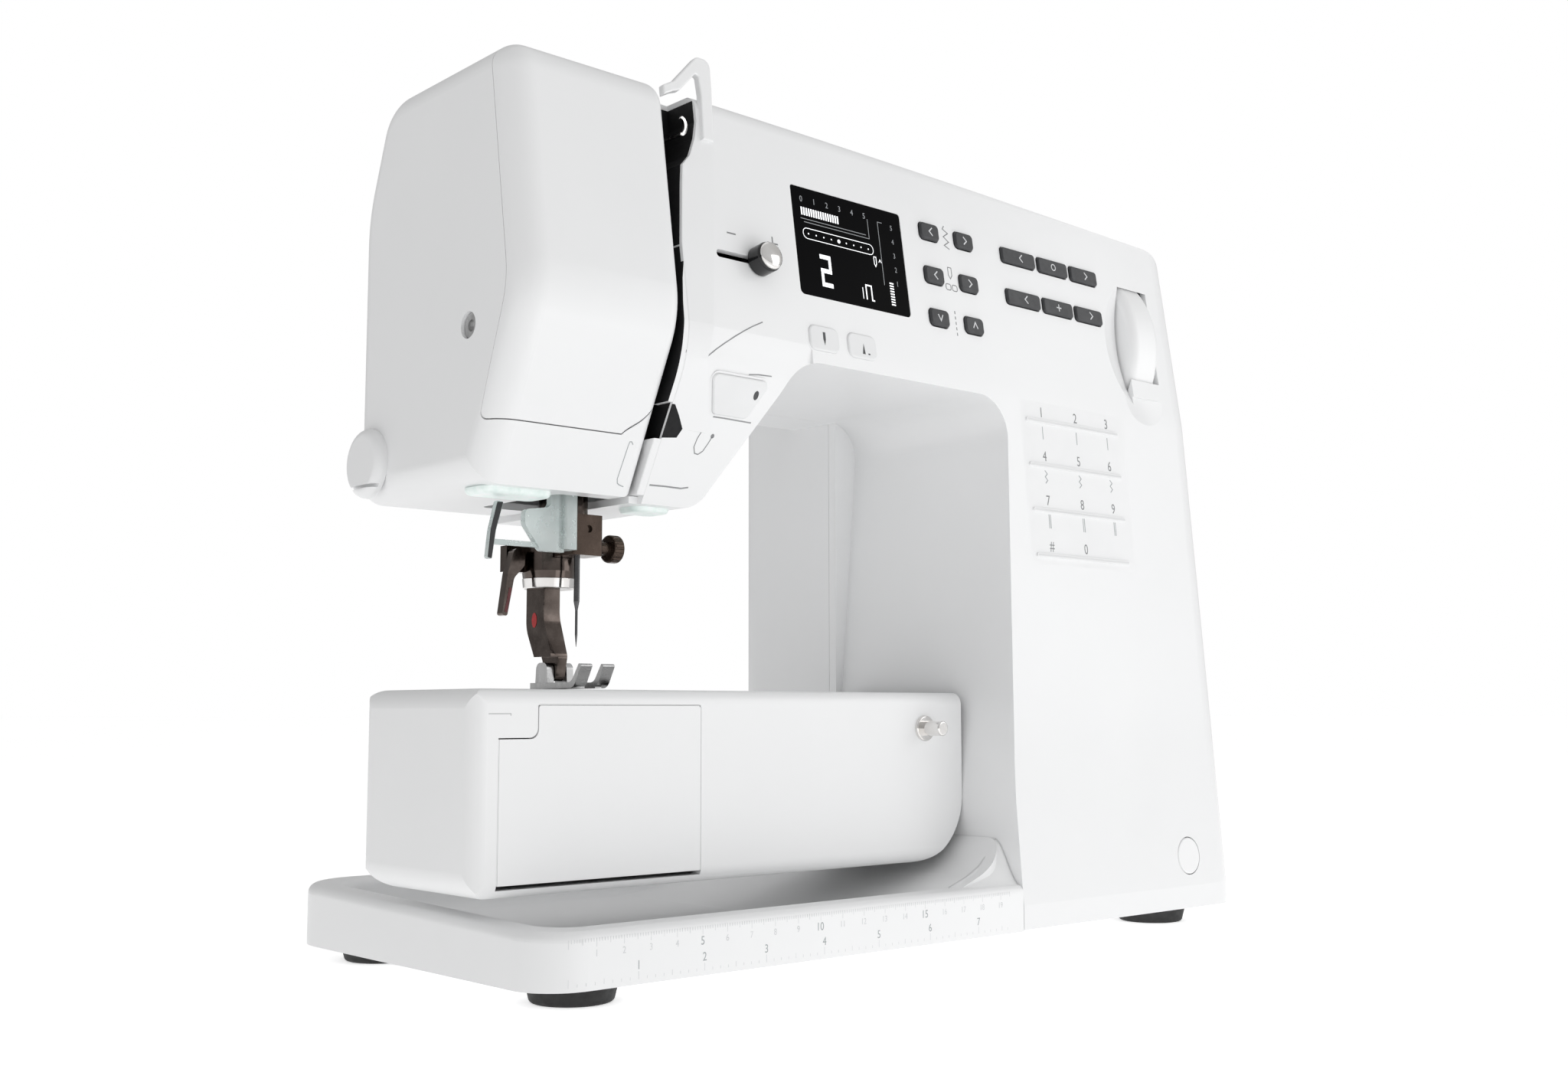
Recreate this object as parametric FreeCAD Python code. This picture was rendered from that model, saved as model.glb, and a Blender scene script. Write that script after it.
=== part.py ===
import FreeCAD, Part
import math
import os

V = FreeCAD.Vector
os.makedirs("parts", exist_ok=True)

# ---------------------------------------------------------------------------
# Driving dimensions, millimetres. X runs along the machine (head at the left,
# hand wheel at the right), Y from the user to the back, Z up from the table.
# While modelling, X = 0 is the zero of the ruler and Y = 0 the base's front.
# ---------------------------------------------------------------------------
WALL = 2.5                     # casing wall
BASE_L, BASE_R = -9.0, 346.0   # base, left and right ends
BODY_D = 165.0                 # base and column depth
BASE_Z0 = 7.5                  # underside of the base, on its feet
RIM_FRONT, RIM_BACK = 24.5, 28.5
TROUGH_Z = 14.0

COL_L = 203.0                  # column's left face, low down
COL_L_TOP = 216.5              # the same face at the arch
ARCH_Z = 211.0                 # underside of the arm
ARM_L = 52.7                   # arm's left end, against the head
SLOT_R, SLOT_BACK = 56.5, 44.0 # thread slot: right side and depth
ARM_BACK = 127.0
TOP_Z = 301.5                  # top at the left
TOP_Z_R = 294.0                # top at the right
LEAN_Z, LEAN_Y = 213.5, 16.0   # crease between lower front and control panel
PANEL_T = 0.1466               # tangent of the panel's lean
LOW_T = LEAN_Y / (LEAN_Z - 17.0)
LOBE_Z = 158.5                 # lowest point of the arm beside the head
LOBE_Y = 42.0
SPLIT_Y = 104.0                # seam between front and rear shells

HEAD_L, HEAD_R = -9.0, 52.5
HEAD_BACK = 121.0
HEAD_Z = 160.0

ARM2_L = -15.0                 # free arm, left end
ARM2_Y0, ARM2_Y1 = 30.0, 98.0
ARM2_Z0, ARM2_Z1 = 32.0, 95.5

SHAFT_Y, SHAFT_Z = 60.0, 246.0     # main shaft
LOWER_Y, LOWER_Z = 60.0, 62.0      # hook shaft
WHEEL_R = 43.5
WHEEL_L, WHEEL_RIM_R, WHEEL_END = 302.5, 321.0, 356.0
PULLEY_UP, PULLEY_LOW = 22.0, 11.0     # timing pulleys, 2 to 1
PULLEY_BIG, PULLEY_MOTOR = 30.0, 6.0   # drive pulleys, 5 to 1
MOTOR_Y, MOTOR_Z = 126.0, 72.0

NEEDLE_X, NEEDLE_Y = 46.5, 65.0
BAR_X, BAR_Y = 45.5, 80.5
PLATE_Z = 95.5

XC = (ARM2_L + WHEEL_END) / 2.0    # the stored origin: middle of the box,
YC = BODY_D / 2.0                  # on the table


# ---------------------------------------------------------------------------
# Helpers
# ---------------------------------------------------------------------------
def rwire(pts, mk):
    """Closed wire of straight sides with rounded corners (u, v, radius)."""
    n = len(pts)
    P = [(p[0], p[1]) for p in pts]
    R = [(p[2] if len(p) > 2 else 0) for p in pts]
    seg = []
    for i in range(n):
        a, b, c, r = P[i - 1], P[i], P[(i + 1) % n], R[i]
        if r <= 0:
            seg.append((b, None, b))
            continue
        ux, uy = a[0] - b[0], a[1] - b[1]
        l1 = math.hypot(ux, uy)
        ux, uy = ux / l1, uy / l1
        wx, wy = c[0] - b[0], c[1] - b[1]
        l2 = math.hypot(wx, wy)
        wx, wy = wx / l2, wy / l2
        ang = math.acos(max(-1.0, min(1.0, ux * wx + uy * wy)))
        t = r / math.tan(ang / 2)
        bx, by = ux + wx, uy + wy
        bl = math.hypot(bx, by)
        bx, by = bx / bl, by / bl
        d = r / math.sin(ang / 2)
        cx, cy = b[0] + bx * d, b[1] + by * d
        seg.append(((b[0] + ux * t, b[1] + uy * t),
                    (cx - bx * r, cy - by * r),
                    (b[0] + wx * t, b[1] + wy * t)))
    E = []
    for i in range(n):
        p1, m, p2 = seg[i]
        if m is not None:
            E.append(Part.Arc(mk(*p1), mk(*m), mk(*p2)).toShape())
        q = seg[(i + 1) % n][0]
        if math.hypot(q[0] - p2[0], q[1] - p2[1]) > 1e-6:
            E.append(Part.LineSegment(mk(*p2), mk(*q)).toShape())
    return Part.Wire(E)


def xz(pts, y0, y1):
    return Part.Face(rwire(pts, lambda u, v: V(u, y0, v))).extrude(V(0, y1 - y0, 0))


def yz(pts, x0, x1):
    return Part.Face(rwire(pts, lambda u, v: V(x0, u, v))).extrude(V(x1 - x0, 0, 0))


def xy(pts, z0, z1):
    return Part.Face(rwire(pts, lambda u, v: V(u, v, z0))).extrude(V(0, 0, z1 - z0))


def box(x0, x1, y0, y1, z0, z1):
    return Part.makeBox(x1 - x0, y1 - y0, z1 - z0, V(x0, y0, z0))


def cx(y, z, r, x0, x1):
    return Part.makeCylinder(r, x1 - x0, V(x0, y, z), V(1, 0, 0))


def cy(x, z, r, y0, y1):
    return Part.makeCylinder(r, y1 - y0, V(x, y0, z), V(0, 1, 0))


def cz(x, y, r, z0, z1):
    return Part.makeCylinder(r, z1 - z0, V(x, y, z0), V(0, 0, 1))


def mid(e):
    return e.valueAt((e.FirstParameter + e.LastParameter) / 2.0)


def fil(s, r, pick, label=""):
    """Round the edges whose middle point passes the test."""
    es = [e for e in s.Edges if pick(mid(e), e)]
    if not es:
        print("no edges to round:", label)
        return s
    try:
        f = s.makeFillet(r, es)
        if f.isValid() and f.Volume > 0:
            return f.Solids[0] if len(f.Solids) == 1 else f
    except Exception:
        pass
    done = s
    for k in range(len(es)):
        # one edge at a time where the whole set does not close
        try:
            f = done.makeFillet(r, [e for e in done.Edges
                                    if (mid(e) - mid(es[k])).Length < 1e-3])
            if f.isValid() and f.Volume > 0:
                done = f
        except Exception:
            continue
    print("rounded singly:", label)
    return done


def fuse(*s):
    a = s[0]
    for b in s[1:]:
        a = a.fuse(b)
    return a.removeSplitter()


def biggest(s):
    return max(s.Solids, key=lambda q: q.Volume)


PS = PANEL_T / math.hypot(1, PANEL_T)
PC = 1.0 / math.hypot(1, PANEL_T)
LS = LOW_T / math.hypot(1, LOW_T)
LC = 1.0 / math.hypot(1, LOW_T)


def panel(pts, d0, d1):
    """Prism square to the control panel; corners given as (x, z, radius)."""
    q = [(p[0], (p[1] - LEAN_Z) / PC) + tuple(p[2:]) for p in pts]

    def mk(u, v):
        return V(u, LEAN_Y + v * PS + d0 * PC, LEAN_Z + v * PC - d0 * PS)
    return Part.Face(rwire(q, mk)).extrude(V(0, (d1 - d0) * PC, -(d1 - d0) * PS))


def lower(pts, d0, d1):
    """Prism square to the lower front; corners given as (x, z, radius)."""
    q = [(p[0], (p[1] - 17.0) / LC) + tuple(p[2:]) for p in pts]

    def mk(u, v):
        return V(u, v * LS + d0 * LC, 17.0 + v * LC - d0 * LS)
    return Part.Face(rwire(q, mk)).extrude(V(0, (d1 - d0) * LC, -(d1 - d0) * LS))


def rect(x0, x1, z0, z1, r):
    return [(x0, z0, r), (x1, z0, r), (x1, z1, r), (x0, z1, r)]


def front_y(z):
    if z < 17:
        return 0.0
    if z < LEAN_Z:
        return LOW_T * (z - 17)
    return LEAN_Y + PANEL_T * (z - LEAN_Z)


nodes = {}

# ---------------------------------------------------------------------------
# Arm and column casing: one hollow body, then split into front and rear shells
# ---------------------------------------------------------------------------
TOP_Y = LEAN_Y + PANEL_T * (TOP_Z - LEAN_Z)
arm_out = [(BASE_R, 8), (BASE_R, TOP_Z_R, 22), (ARM_L, TOP_Z), (ARM_L, LOBE_Z),
           (80, LOBE_Z, 9), (107, ARCH_Z, 15), (COL_L_TOP, ARCH_Z, 15),
           (COL_L, 58, 200), (COL_L, 8)]
arm_prof = [(0, 8), (0, 17), (LEAN_Y, LEAN_Z, 120), (TOP_Y, TOP_Z, 7),
            (ARM_BACK, TOP_Z, 16), (ARM_BACK, 8)]
body = xz(arm_out, -20, 200).common(yz(arm_prof, 0, 400))


def corner_cut(x, sx, r, z0, x1=None, z1=None):
    """Tool that rounds a front corner edge which follows the leaning front."""
    def tool(za, xa, zb, xb):
        ya, yb = front_y(za), front_y(zb)
        p = [V(xa + 5 * sx, ya - 5, za), V(xa + 5 * sx, ya + r, za), V(xa, ya + r, za)]
        m = V(xa - sx * r * (1 - math.sqrt(0.5)), ya + r * (1 - math.sqrt(0.5)), za)
        q = V(xa - sx * r, ya, za)
        q2 = V(xa - sx * r, ya - 5, za)
        w = Part.Wire([Part.LineSegment(p[0], p[1]).toShape(),
                       Part.LineSegment(p[1], p[2]).toShape(),
                       Part.Arc(p[2], m, q).toShape(),
                       Part.LineSegment(q, q2).toShape(),
                       Part.LineSegment(q2, p[0]).toShape()])
        return Part.Face(w).extrude(V(xb - xa, yb - ya, zb - za))
    return tool(z0, x, z1, x1)


R_FRONT = 16.0
body = body.cut(corner_cut(BASE_R, 1, R_FRONT, 5.0, BASE_R, 17.0))
body = body.cut(corner_cut(BASE_R, 1, R_FRONT, 17.0, BASE_R, LEAN_Z))
body = body.cut(corner_cut(BASE_R, 1, R_FRONT, LEAN_Z, BASE_R, TOP_Z + 2))

# the front of the arm falls back below the reverse button
LOBE_T = 0.528
lobe_cut = yz([(LOBE_Y + LOBE_T * 12, LOBE_Z - 12), (LOBE_Y - LOBE_T * 50.0, LOBE_Z + 50.0, 45),
               (LEAN_Y + 0.2, LEAN_Z + 2.5), (-30, LEAN_Z + 2.5), (-30, LOBE_Z - 12)], 40, 112)
body = biggest(body.cut(lobe_cut))
body = fil(body, 5.0, lambda m, e: 108 < m.x < 216 and abs(m.z - ARCH_Z) < 3.2
           and abs(m.y - front_y(m.z)) < 1.5 and e.Length > 2, "arch front edge")

# deeper column block behind the arm
col = xy([(COL_L, 100), (BASE_R, 100), (BASE_R, BODY_D, 20), (COL_L, BODY_D, 14)], 8, 256)
col = fil(col, 7, lambda m, e: abs(m.z - 256) < 0.1 and m.y > 90, "column top")
body_out = body.fuse(col).removeSplitter()

arm_in = Part.Face(rwire(arm_out, lambda u, v: V(u, -20, v))).makeOffset2D(-WALL)
prof_in = Part.Face(rwire(arm_prof, lambda u, v: V(0, u, v))).makeOffset2D(-WALL)
cav = arm_in.extrude(V(0, 220, 0)).common(prof_in.extrude(V(400, 0, 0)))
cav = cav.cut(lobe_cut.translated(V(0, WALL * 1.15, 0)))
for (za, zb) in ((5.0, 17.0), (17.0, LEAN_Z), (LEAN_Z, TOP_Z + 2)):
    cav = cav.cut(corner_cut(BASE_R - WALL, 1, R_FRONT - WALL, za, BASE_R - WALL, zb)
                  .translated(V(0, WALL, 0)))
col_in = xy([(COL_L + WALL, 102.5), (BASE_R - WALL, 102.5), (BASE_R - WALL, BODY_D - WALL, 17.5),
             (COL_L + WALL, BODY_D - WALL, 11.5)], 0, 256 - WALL)
col_in = fil(col_in, 5, lambda m, e: abs(m.z - 256 + WALL) < 0.1 and m.y > 90, "column cavity")
open_low = xy([(COL_L + WALL, WALL), (BASE_R - WALL, WALL, 12), (BASE_R - WALL, 110),
               (COL_L + WALL, 110)], 0, 14)
open_left = box(ARM_L - 5, ARM_L + 8, SLOT_BACK, 108, LOBE_Z + WALL, 298.5)
open_left = open_left.fuse(box(ARM_L - 5, ARM_L + 8, 100, ARM_BACK - WALL, LOBE_Z + WALL, 282))
cav = cav.cut(box(40, SLOT_R + WALL, -10, SLOT_BACK, 100, 400))
SLOT_TOP = [(50, 244), (56.4, 244), (58.9, 266), (60.0, 273.5), (63.5, 277.5), (66.5, 284.6, 12),
            (68.0, 291), (68.0, 312), (50, 312)]
cav = cav.cut(xz([(50, 240), (56.4 + WALL, 240), (61.6, 266), (62.6, 271), (66.0, 274.6), (69.0, 281.5),
                  (70.5, 289), (70.5, 320), (50, 320)], -10, SLOT_BACK))
cav = cav.fuse([col_in, open_low, open_left]).removeSplitter()
casing = body_out.cut(cav)

# pockets in the top for the folding handle and for the thread spool
HANDLE_X0, HANDLE_X1 = 134.0, 252.0
SPOOL_X0, SPOOL_X1 = 70.0, 126.0
pocket = [(HANDLE_X0, HANDLE_X1, 54.0, 99.0, 284.0), (SPOOL_X0, SPOOL_X1, 60.0, 99.0, 280.0)]
for (a, b, c, d, z) in pocket:
    casing = casing.fuse(box(a - WALL, b + WALL, c - WALL, d + WALL, z - WALL, 310).common(body_out))
for (a, b, c, d, z) in pocket:
    casing = casing.cut(xy([(a, c, 5), (b, c, 5), (b, d, 5), (a, d, 5)], z, 320))

front = biggest(casing.common(box(0, 400, -30, SPLIT_Y - 0.1, -5, 330)))
rear = biggest(casing.common(box(0, 400, SPLIT_Y + 0.1, 300, -5, 330)))

# way for the drive through the column's left wall, behind the free arm's end
front = front.cut(box(196, 214, 36, 94, 57.5, 90))
# hand wheel window in the panel and round hole in the right side
back = box(288.0, WHEEL_L - 0.6, 18, 42, 219, 271).common(yz([(LEAN_Y + 0.4, LEAN_Z), (TOP_Y + 0.4, TOP_Z), (TOP_Y + 13, TOP_Z),
                                                              (LEAN_Y + 13, LEAN_Z)], 270, 320))
front = front.fuse(back)
scoop_y = LEAN_Y + PANEL_T * (245.0 - LEAN_Z)
scoop = Part.makeSphere(80.0, V(321.0, scoop_y - 72.65 * PC, 245.0 + 72.65 * PS))
front = front.cut(scoop.common(box(270, WHEEL_L - 0.5, 0, 60, 200, 300)))
front = front.cut(cx(SHAFT_Y, SHAFT_Z, WHEEL_R + 0.7, WHEEL_L - 1.0, WHEEL_RIM_R + 1.0)
                  .common(box(280, 330, 0, 40, 200, 300)))
# shallow finger recess under the wheel
dip_y = LEAN_Y + PANEL_T * (223.0 - LEAN_Z)
dip = Part.makeSphere(80.0, V(309.0, dip_y - 78.9 * PC, 223.0 + 78.9 * PS))
front = front.cut(dip.common(box(280, 330, 0, 40, 205, 223)))
front = front.cut(cx(SHAFT_Y, SHAFT_Z, 25.0, 338, 350))
# thread slot beside the head; its top opens out
front = front.cut(box(40, SLOT_R, -10, SLOT_BACK, 100, 400))
front = front.cut(xz(SLOT_TOP, 0, SLOT_BACK))

# ---------------------------------------------------------------------------
# Control panel: display, buttons, slider, keypad
# ---------------------------------------------------------------------------
LCD = [(109.5, 236.0, 2.0), (166.0, 236.0, 2.0), (166.0, 277.5, 1.2), (109.5, 277.5, 1.2)]
front = front.cut(panel(LCD, -3, 8))
nodes["display_window"] = panel(LCD, 0.25, 4.2)

CLR = 0.35                    # gap round a button


def grow(pts, g):
    xs = [p[0] for p in pts]
    zs = [p[1] for p in pts]
    mx, mz = (min(xs) + max(xs)) / 2, (min(zs) + max(zs)) / 2
    return [(p[0] + math.copysign(g, p[0] - mx), p[1] + math.copysign(g, p[1] - mz),
             (p[2] + g if len(p) > 2 and p[2] + g > 0 else 0)) for p in pts]


def push_button(name, pts, proud, frame=panel):
    global front
    front = front.cut(frame(grow(pts, CLR), -4, 8))
    cap = frame(pts, -proud, 3.6)
    cap = fil(cap, 0.7, lambda m, e: frame(grow(pts, 1.0), -proud - 0.2, -proud + 0.05)
              .isInside(m, 1e-3, True), name)
    flange = frame(grow(pts, 0.9), 3.6, 4.6)
    nodes[name] = fuse(cap, flange)


SMALL = [("width_down_button", 181.5, 273.4), ("width_up_button", 201.4, 273.4),
         ("length_down_button", 181.5, 255.6), ("length_up_button", 201.4, 255.6),
         ("needle_left_button", 181.5, 238.4), ("needle_right_button", 201.4, 238.4)]
for (n, bx, bz) in SMALL:
    push_button(n, rect(bx - 5.2, bx + 5.2, bz - 3.4, bz + 3.4, 1.9), 1.2)
WIDE = [("memory_back_button", 224.0, 244.8, 272.6), ("memory_store_button", 247.0, 266.0, 272.6),
        ("memory_next_button", 268.2, 286.0, 272.6), ("alphabet_back_button", 224.0, 244.8, 254.9),
        ("alphabet_button", 247.0, 266.0, 254.9), ("alphabet_next_button", 268.2, 286.0, 254.9)]
for (n, bx0, bx1, bz) in WIDE:
    push_button(n, rect(bx0, bx1, bz - 3.2, bz + 3.2, 1.5), 1.2)
push_button("needle_stop_button", rect(111.0, 125.5, 215.6, 225.0, 3.0), 0.7)
push_button("securing_button", rect(130.0, 144.5, 215.6, 225.0, 3.0), 0.7)

# speed slider: narrow slot, stem and round knob
SLOT_Z = 244.0
front = front.cut(panel([(71.5, SLOT_Z - 1.4, 1.3), (96.5, SLOT_Z - 1.4, 1.3),
                         (96.5, SLOT_Z + 1.4, 1.3), (71.5, SLOT_Z + 1.4, 1.3)], -4, 8))
KNOB_X = 90.5
stem = panel(rect(KNOB_X - 2.5, KNOB_X + 2.5, SLOT_Z - 1.0, SLOT_Z + 1.0, 0.4), -1.5, 3.2)
foot = panel(rect(KNOB_X - 4, KNOB_X + 4, SLOT_Z - 3.5, SLOT_Z + 3.5, 0.6), 3.2, 5.0)


def panel_point(x, z, d):
    v = (z - LEAN_Z) / PC
    return V(x, LEAN_Y + v * PS + d * PC, LEAN_Z + v * PC - d * PS)


knob = Part.makeCylinder(5.4, 6.2, panel_point(KNOB_X, SLOT_Z, -0.5), V(0, -PC, PS))
knob = fil(knob, 1.3, lambda m, e: (m - panel_point(KNOB_X, SLOT_Z, -6.7)).Length < 5.6
           and e.Length > 20, "slider knob")
nodes["speed_slider"] = fuse(stem, foot, knob)

# keypad: flat membrane let into the lower front, four ledges under the rows
KEY_X0, KEY_X1, KEY_Z0, KEY_Z1 = 224.0, 291.0, 146.0, 212.0
front = front.cut(lower(rect(KEY_X0, KEY_X1, KEY_Z0, KEY_Z1, 3), -3, 0.9))
pad = lower(rect(KEY_X0, KEY_X1, KEY_Z0, KEY_Z1, 3), 0.0, 0.9)
ledges = []
for kz in (204.2, 186.0, 167.8, 149.6):
    led = lower(rect(227.0, 286.5, kz - 0.7, kz + 0.7, 0.6), -0.7, 0.4)
    ledges.append(led)
nodes["keypad_membrane"] = fuse(pad, *ledges)

# round feed-drop push button, low on the column
DROP_X, DROP_Z = 309.6, 29.0


def lower_point(x, z, d):
    v = (z - 17.0) / LC
    return V(x, v * LS + d * LC, 17.0 + v * LC - d * LS)


LDIR = V(0, LC, -LS)
front = front.cut(Part.makeCylinder(7.75, 12, lower_point(DROP_X, DROP_Z, -4), LDIR))
drop = Part.makeCylinder(7.4, 3.85, lower_point(DROP_X, DROP_Z, -0.25), LDIR)
drop = fil(drop, 0.7, lambda m, e: (m - lower_point(DROP_X, DROP_Z, -0.25)).Length < 7.6
           and e.Length > 30, "drop button")
nodes["feed_drop_button"] = fuse(drop, Part.makeCylinder(9.0, 1.0, lower_point(DROP_X, DROP_Z, 3.6), LDIR))

# reverse button on the receding part of the arm's front
RS = LOBE_T / math.hypot(1, LOBE_T)
RC = 1.0 / math.hypot(1, LOBE_T)


def recede(pts, d0, d1):
    """Prism square to the receding front; corners given as (x, z, radius)."""
    q = [(p[0], (p[1] - LOBE_Z) / RC) + tuple(p[2:]) for p in pts]

    def mk(u, v):
        return V(u, LOBE_Y - v * RS + d0 * RC, LOBE_Z + v * RC + d0 * RS)
    return Part.Face(rwire(q, mk)).extrude(V(0, (d1 - d0) * RC, (d1 - d0) * RS))


REV = [(74.0, 189.2, 2), (89.0, 189.2, 2.5), (95.0, 202.0, 2.5), (68.6, 202.0, 2)]
REV_OUT = [(73.7, 188.85, 2.3), (89.25, 188.85, 2.8), (95.6, 202.35, 2.8), (68.0, 202.35, 2.3)]
front = front.cut(recede(REV_OUT, -6, 9))
rev = recede(REV, -0.9, 4.2)
rev = fil(rev, 0.7, lambda m, e: recede([(60, 180), (99, 180), (99, 206), (60, 206)], -1.2, -0.85)
          .isInside(m, 1e-3, True), "reverse button")
nodes["reverse_button"] = fuse(rev, recede([(73.0, 188.2, 2), (89.8, 188.2, 2),
                                            (96.5, 203.0, 2), (67.2, 203.0, 2)], 4.2, 5.2))

# ---------------------------------------------------------------------------
# Right side: mains inlet and rocker switch
# ---------------------------------------------------------------------------
IN_Y, IN_Z = 122.0, 34.0
SW_Y, SW_Z = 122.0, 66.0
rear = rear.cut(box(338, 350, IN_Y - 14, IN_Y + 14, IN_Z - 10, IN_Z + 10))
rear = rear.cut(box(338, 350, SW_Y - 7.2, SW_Y + 7.2, SW_Z - 11.0, SW_Z + 11.0))
inlet = box(334.5, 346, IN_Y - 13.9, IN_Y + 13.9, IN_Z - 9.9, IN_Z + 9.9)
inlet = inlet.cut(yz([(IN_Y - 11, IN_Z - 7, 2), (IN_Y + 11, IN_Z - 7, 2), (IN_Y + 11, IN_Z + 7, 4),
                      (IN_Y - 11, IN_Z + 7, 4)], 336.5, 350))
for dy in (-5.0, 5.0):
    inlet = inlet.fuse(cx(IN_Y + dy, IN_Z, 1.6, 336.0, 343.5))
nodes["power_inlet"] = inlet.removeSplitter()
rock = xz([(338.5, SW_Z - 9.6, 1), (338.5, SW_Z + 9.6, 1), (347.4, SW_Z + 9.6, 1),
           (345.2, SW_Z, 0), (347.4, SW_Z - 9.6, 1)], SW_Y - 6.6, SW_Y + 6.6)
rock = rock.fuse(cy(341.5, SW_Z, 1.5, SW_Y - 9.0, SW_Y + 9.0))
rock.rotate(V(341.5, SW_Y, SW_Z), V(0, 1, 0), -7)
nodes["power_switch"] = rock.removeSplitter()
for s in (-1, 1):
    ear = box(337.5, 343.6, min(SW_Y + s * 7.2, SW_Y + s * 10), max(SW_Y + s * 7.2, SW_Y + s * 10),
              SW_Z - 4, SW_Z + 4).cut(cy(341.5, SW_Z, 1.55, SW_Y - 12, SW_Y + 12))
    rear = rear.fuse(ear)

# rear screws, heads sunk in the rear shell
screws = []
for (sx_, sz_) in ((222.0, 26.0), (326.0, 26.0), (222.0, 236.0), (326.0, 236.0)):
    rear = rear.fuse(cy(sx_, sz_, 7.0, 150.0, BODY_D - 2.0))
    rear = rear.cut(cy(sx_, sz_, 4.3, BODY_D - 4.0, BODY_D + 5)).cut(cy(sx_, sz_, 2.05, 140, BODY_D))
    sh = cy(sx_, sz_, 4.0, BODY_D - 4.0, BODY_D - 1.6).fuse(cy(sx_, sz_, 2.0, 149.0, BODY_D - 3.9))
    sh = sh.cut(box(sx_ - 2.6, sx_ + 2.6, BODY_D - 2.8, BODY_D, sz_ - 0.5, sz_ + 0.5))
    sh = sh.cut(box(sx_ - 0.5, sx_ + 0.5, BODY_D - 2.8, BODY_D, sz_ - 2.6, sz_ + 2.6))
    screws.append(biggest(sh.removeSplitter()))
rear = biggest(rear.removeSplitter())
# cooling slots, low on the back
for k in range(9):
    rear = rear.cut(box(238 + k * 8.0, 241.5 + k * 8.0, 158, 170, 52, 92))

# ---------------------------------------------------------------------------
# Head: bulging hollow body, split into face cover and head cover
# ---------------------------------------------------------------------------
head_prof = [(41.5, HEAD_Z), (13.6, 217.5, 34), (25.9, TOP_Z, 11), (106, TOP_Z, 18),
             (HEAD_BACK, 262, 60), (HEAD_BACK, HEAD_Z, 5)]
head = yz(head_prof, HEAD_L, HEAD_R)
head = fil(head, 9.0, lambda m, e: abs(m.x - HEAD_L) < 0.01 and m.z > HEAD_Z + 3
           and m.y < 90, "head left edge")
head = fil(head, 5.0, lambda m, e: abs(m.x - HEAD_L) < 0.01 and m.z > HEAD_Z + 3
           and m.y > 116, "head rear edge")
head = fil(head, 4.5, lambda m, e: abs(m.x - HEAD_R) < 0.01 and m.y < 34
           and m.z > HEAD_Z + 3, "head right edge")
hin = Part.Face(rwire(head_prof, lambda u, v: V(HEAD_L, u, v))).makeOffset2D(-WALL)
hcav = hin.extrude(V(HEAD_R - HEAD_L + 20, 0, 0)).translated(V(WALL, 0, 0))
hcav = fil(hcav, 6.5, lambda m, e: abs(m.x - HEAD_L - WALL) < 0.01 and m.z > HEAD_Z + 5
           and m.y < 90, "head cavity")
hcav = hcav.cut(box(HEAD_R - 5.0, HEAD_R + 40, -10, 37, 100, 400))
shell = biggest(head.cut(hcav))
# opening in the floor of the head for the bars
shell = shell.cut(xy([(27.5, 49.5, 3), (70, 49.5), (70, 97), (27.5, 97, 3)], HEAD_Z - 5, HEAD_Z + 5))
# slot in the back for the lifter lever
shell = shell.cut(box(40.5, 52.0, 112, 130, 166, 226))
seam = [(37.5, TOP_Z + 6), (24.2, 221.0, 30), (39.6, 179.5, 2), (0, 179.5), (0, TOP_Z + 6)]
seam_gap = [(37.8, TOP_Z + 6), (24.5, 221.0, 30), (39.9, 179.1, 2), (0, 179.1), (0, TOP_Z + 6)]
CORNER = [(-30, 170), (37, 170), (37, 179.5, 14), (46, 183.2, 14), (60, 199), (60, 320), (-30, 320)]
CORNER_GAP = [(-30, 170), (37.2, 170), (37.2, 179.1, 14), (46.3, 182.8, 14), (60.3, 198.6), (60.3, 320), (-30, 320)]
nodes["face_cover"] = biggest(shell.common(yz(seam, -30, 80)).common(xz(CORNER, -30, 80)))
hc = biggest(shell.cut(yz(seam_gap, -30, 80).common(xz(CORNER_GAP, -30, 80))))
# screw through the left face
S_Y, S_Z = 47.0, 210.8
hc = hc.fuse(cx(S_Y, S_Z, 7.0, HEAD_L + 1.0, 1.0))
hc = hc.cut(cx(S_Y, S_Z, 4.4, HEAD_L - 2, HEAD_L + 4.0)).cut(cx(S_Y, S_Z, 2.05, HEAD_L, 5))
hs = cx(S_Y, S_Z, 4.1, HEAD_L + 1.2, HEAD_L + 4.0).fuse(cx(S_Y, S_Z, 2.0, HEAD_L + 3.9, 3.0))
hs = hs.cut(cx(S_Y, S_Z, 1.9, HEAD_L, HEAD_L + 2.6))
screws.append(biggest(hs.removeSplitter()))
nodes["casing_screws"] = Part.makeCompound(screws)
nodes["head_cover"] = biggest(hc.removeSplitter())

# thread cutter: rounded lobe at the rear lower corner of the head
lobe = cx(109.0, 173.0, 12.0, HEAD_L - 4.0, HEAD_L)
lobe = fil(lobe, 3.2, lambda m, e: abs(m.x - HEAD_L + 4.0) < 0.01, "cutter lobe")
lobe = lobe.cut(box(HEAD_L - 6, HEAD_L - 1.4, 95, 125, 164.2, 165.4))
nodes["thread_cutter"] = biggest(lobe.common(box(-30, HEAD_L, 90, HEAD_BACK - 0.4, HEAD_Z + 0.5, 200)))

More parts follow.
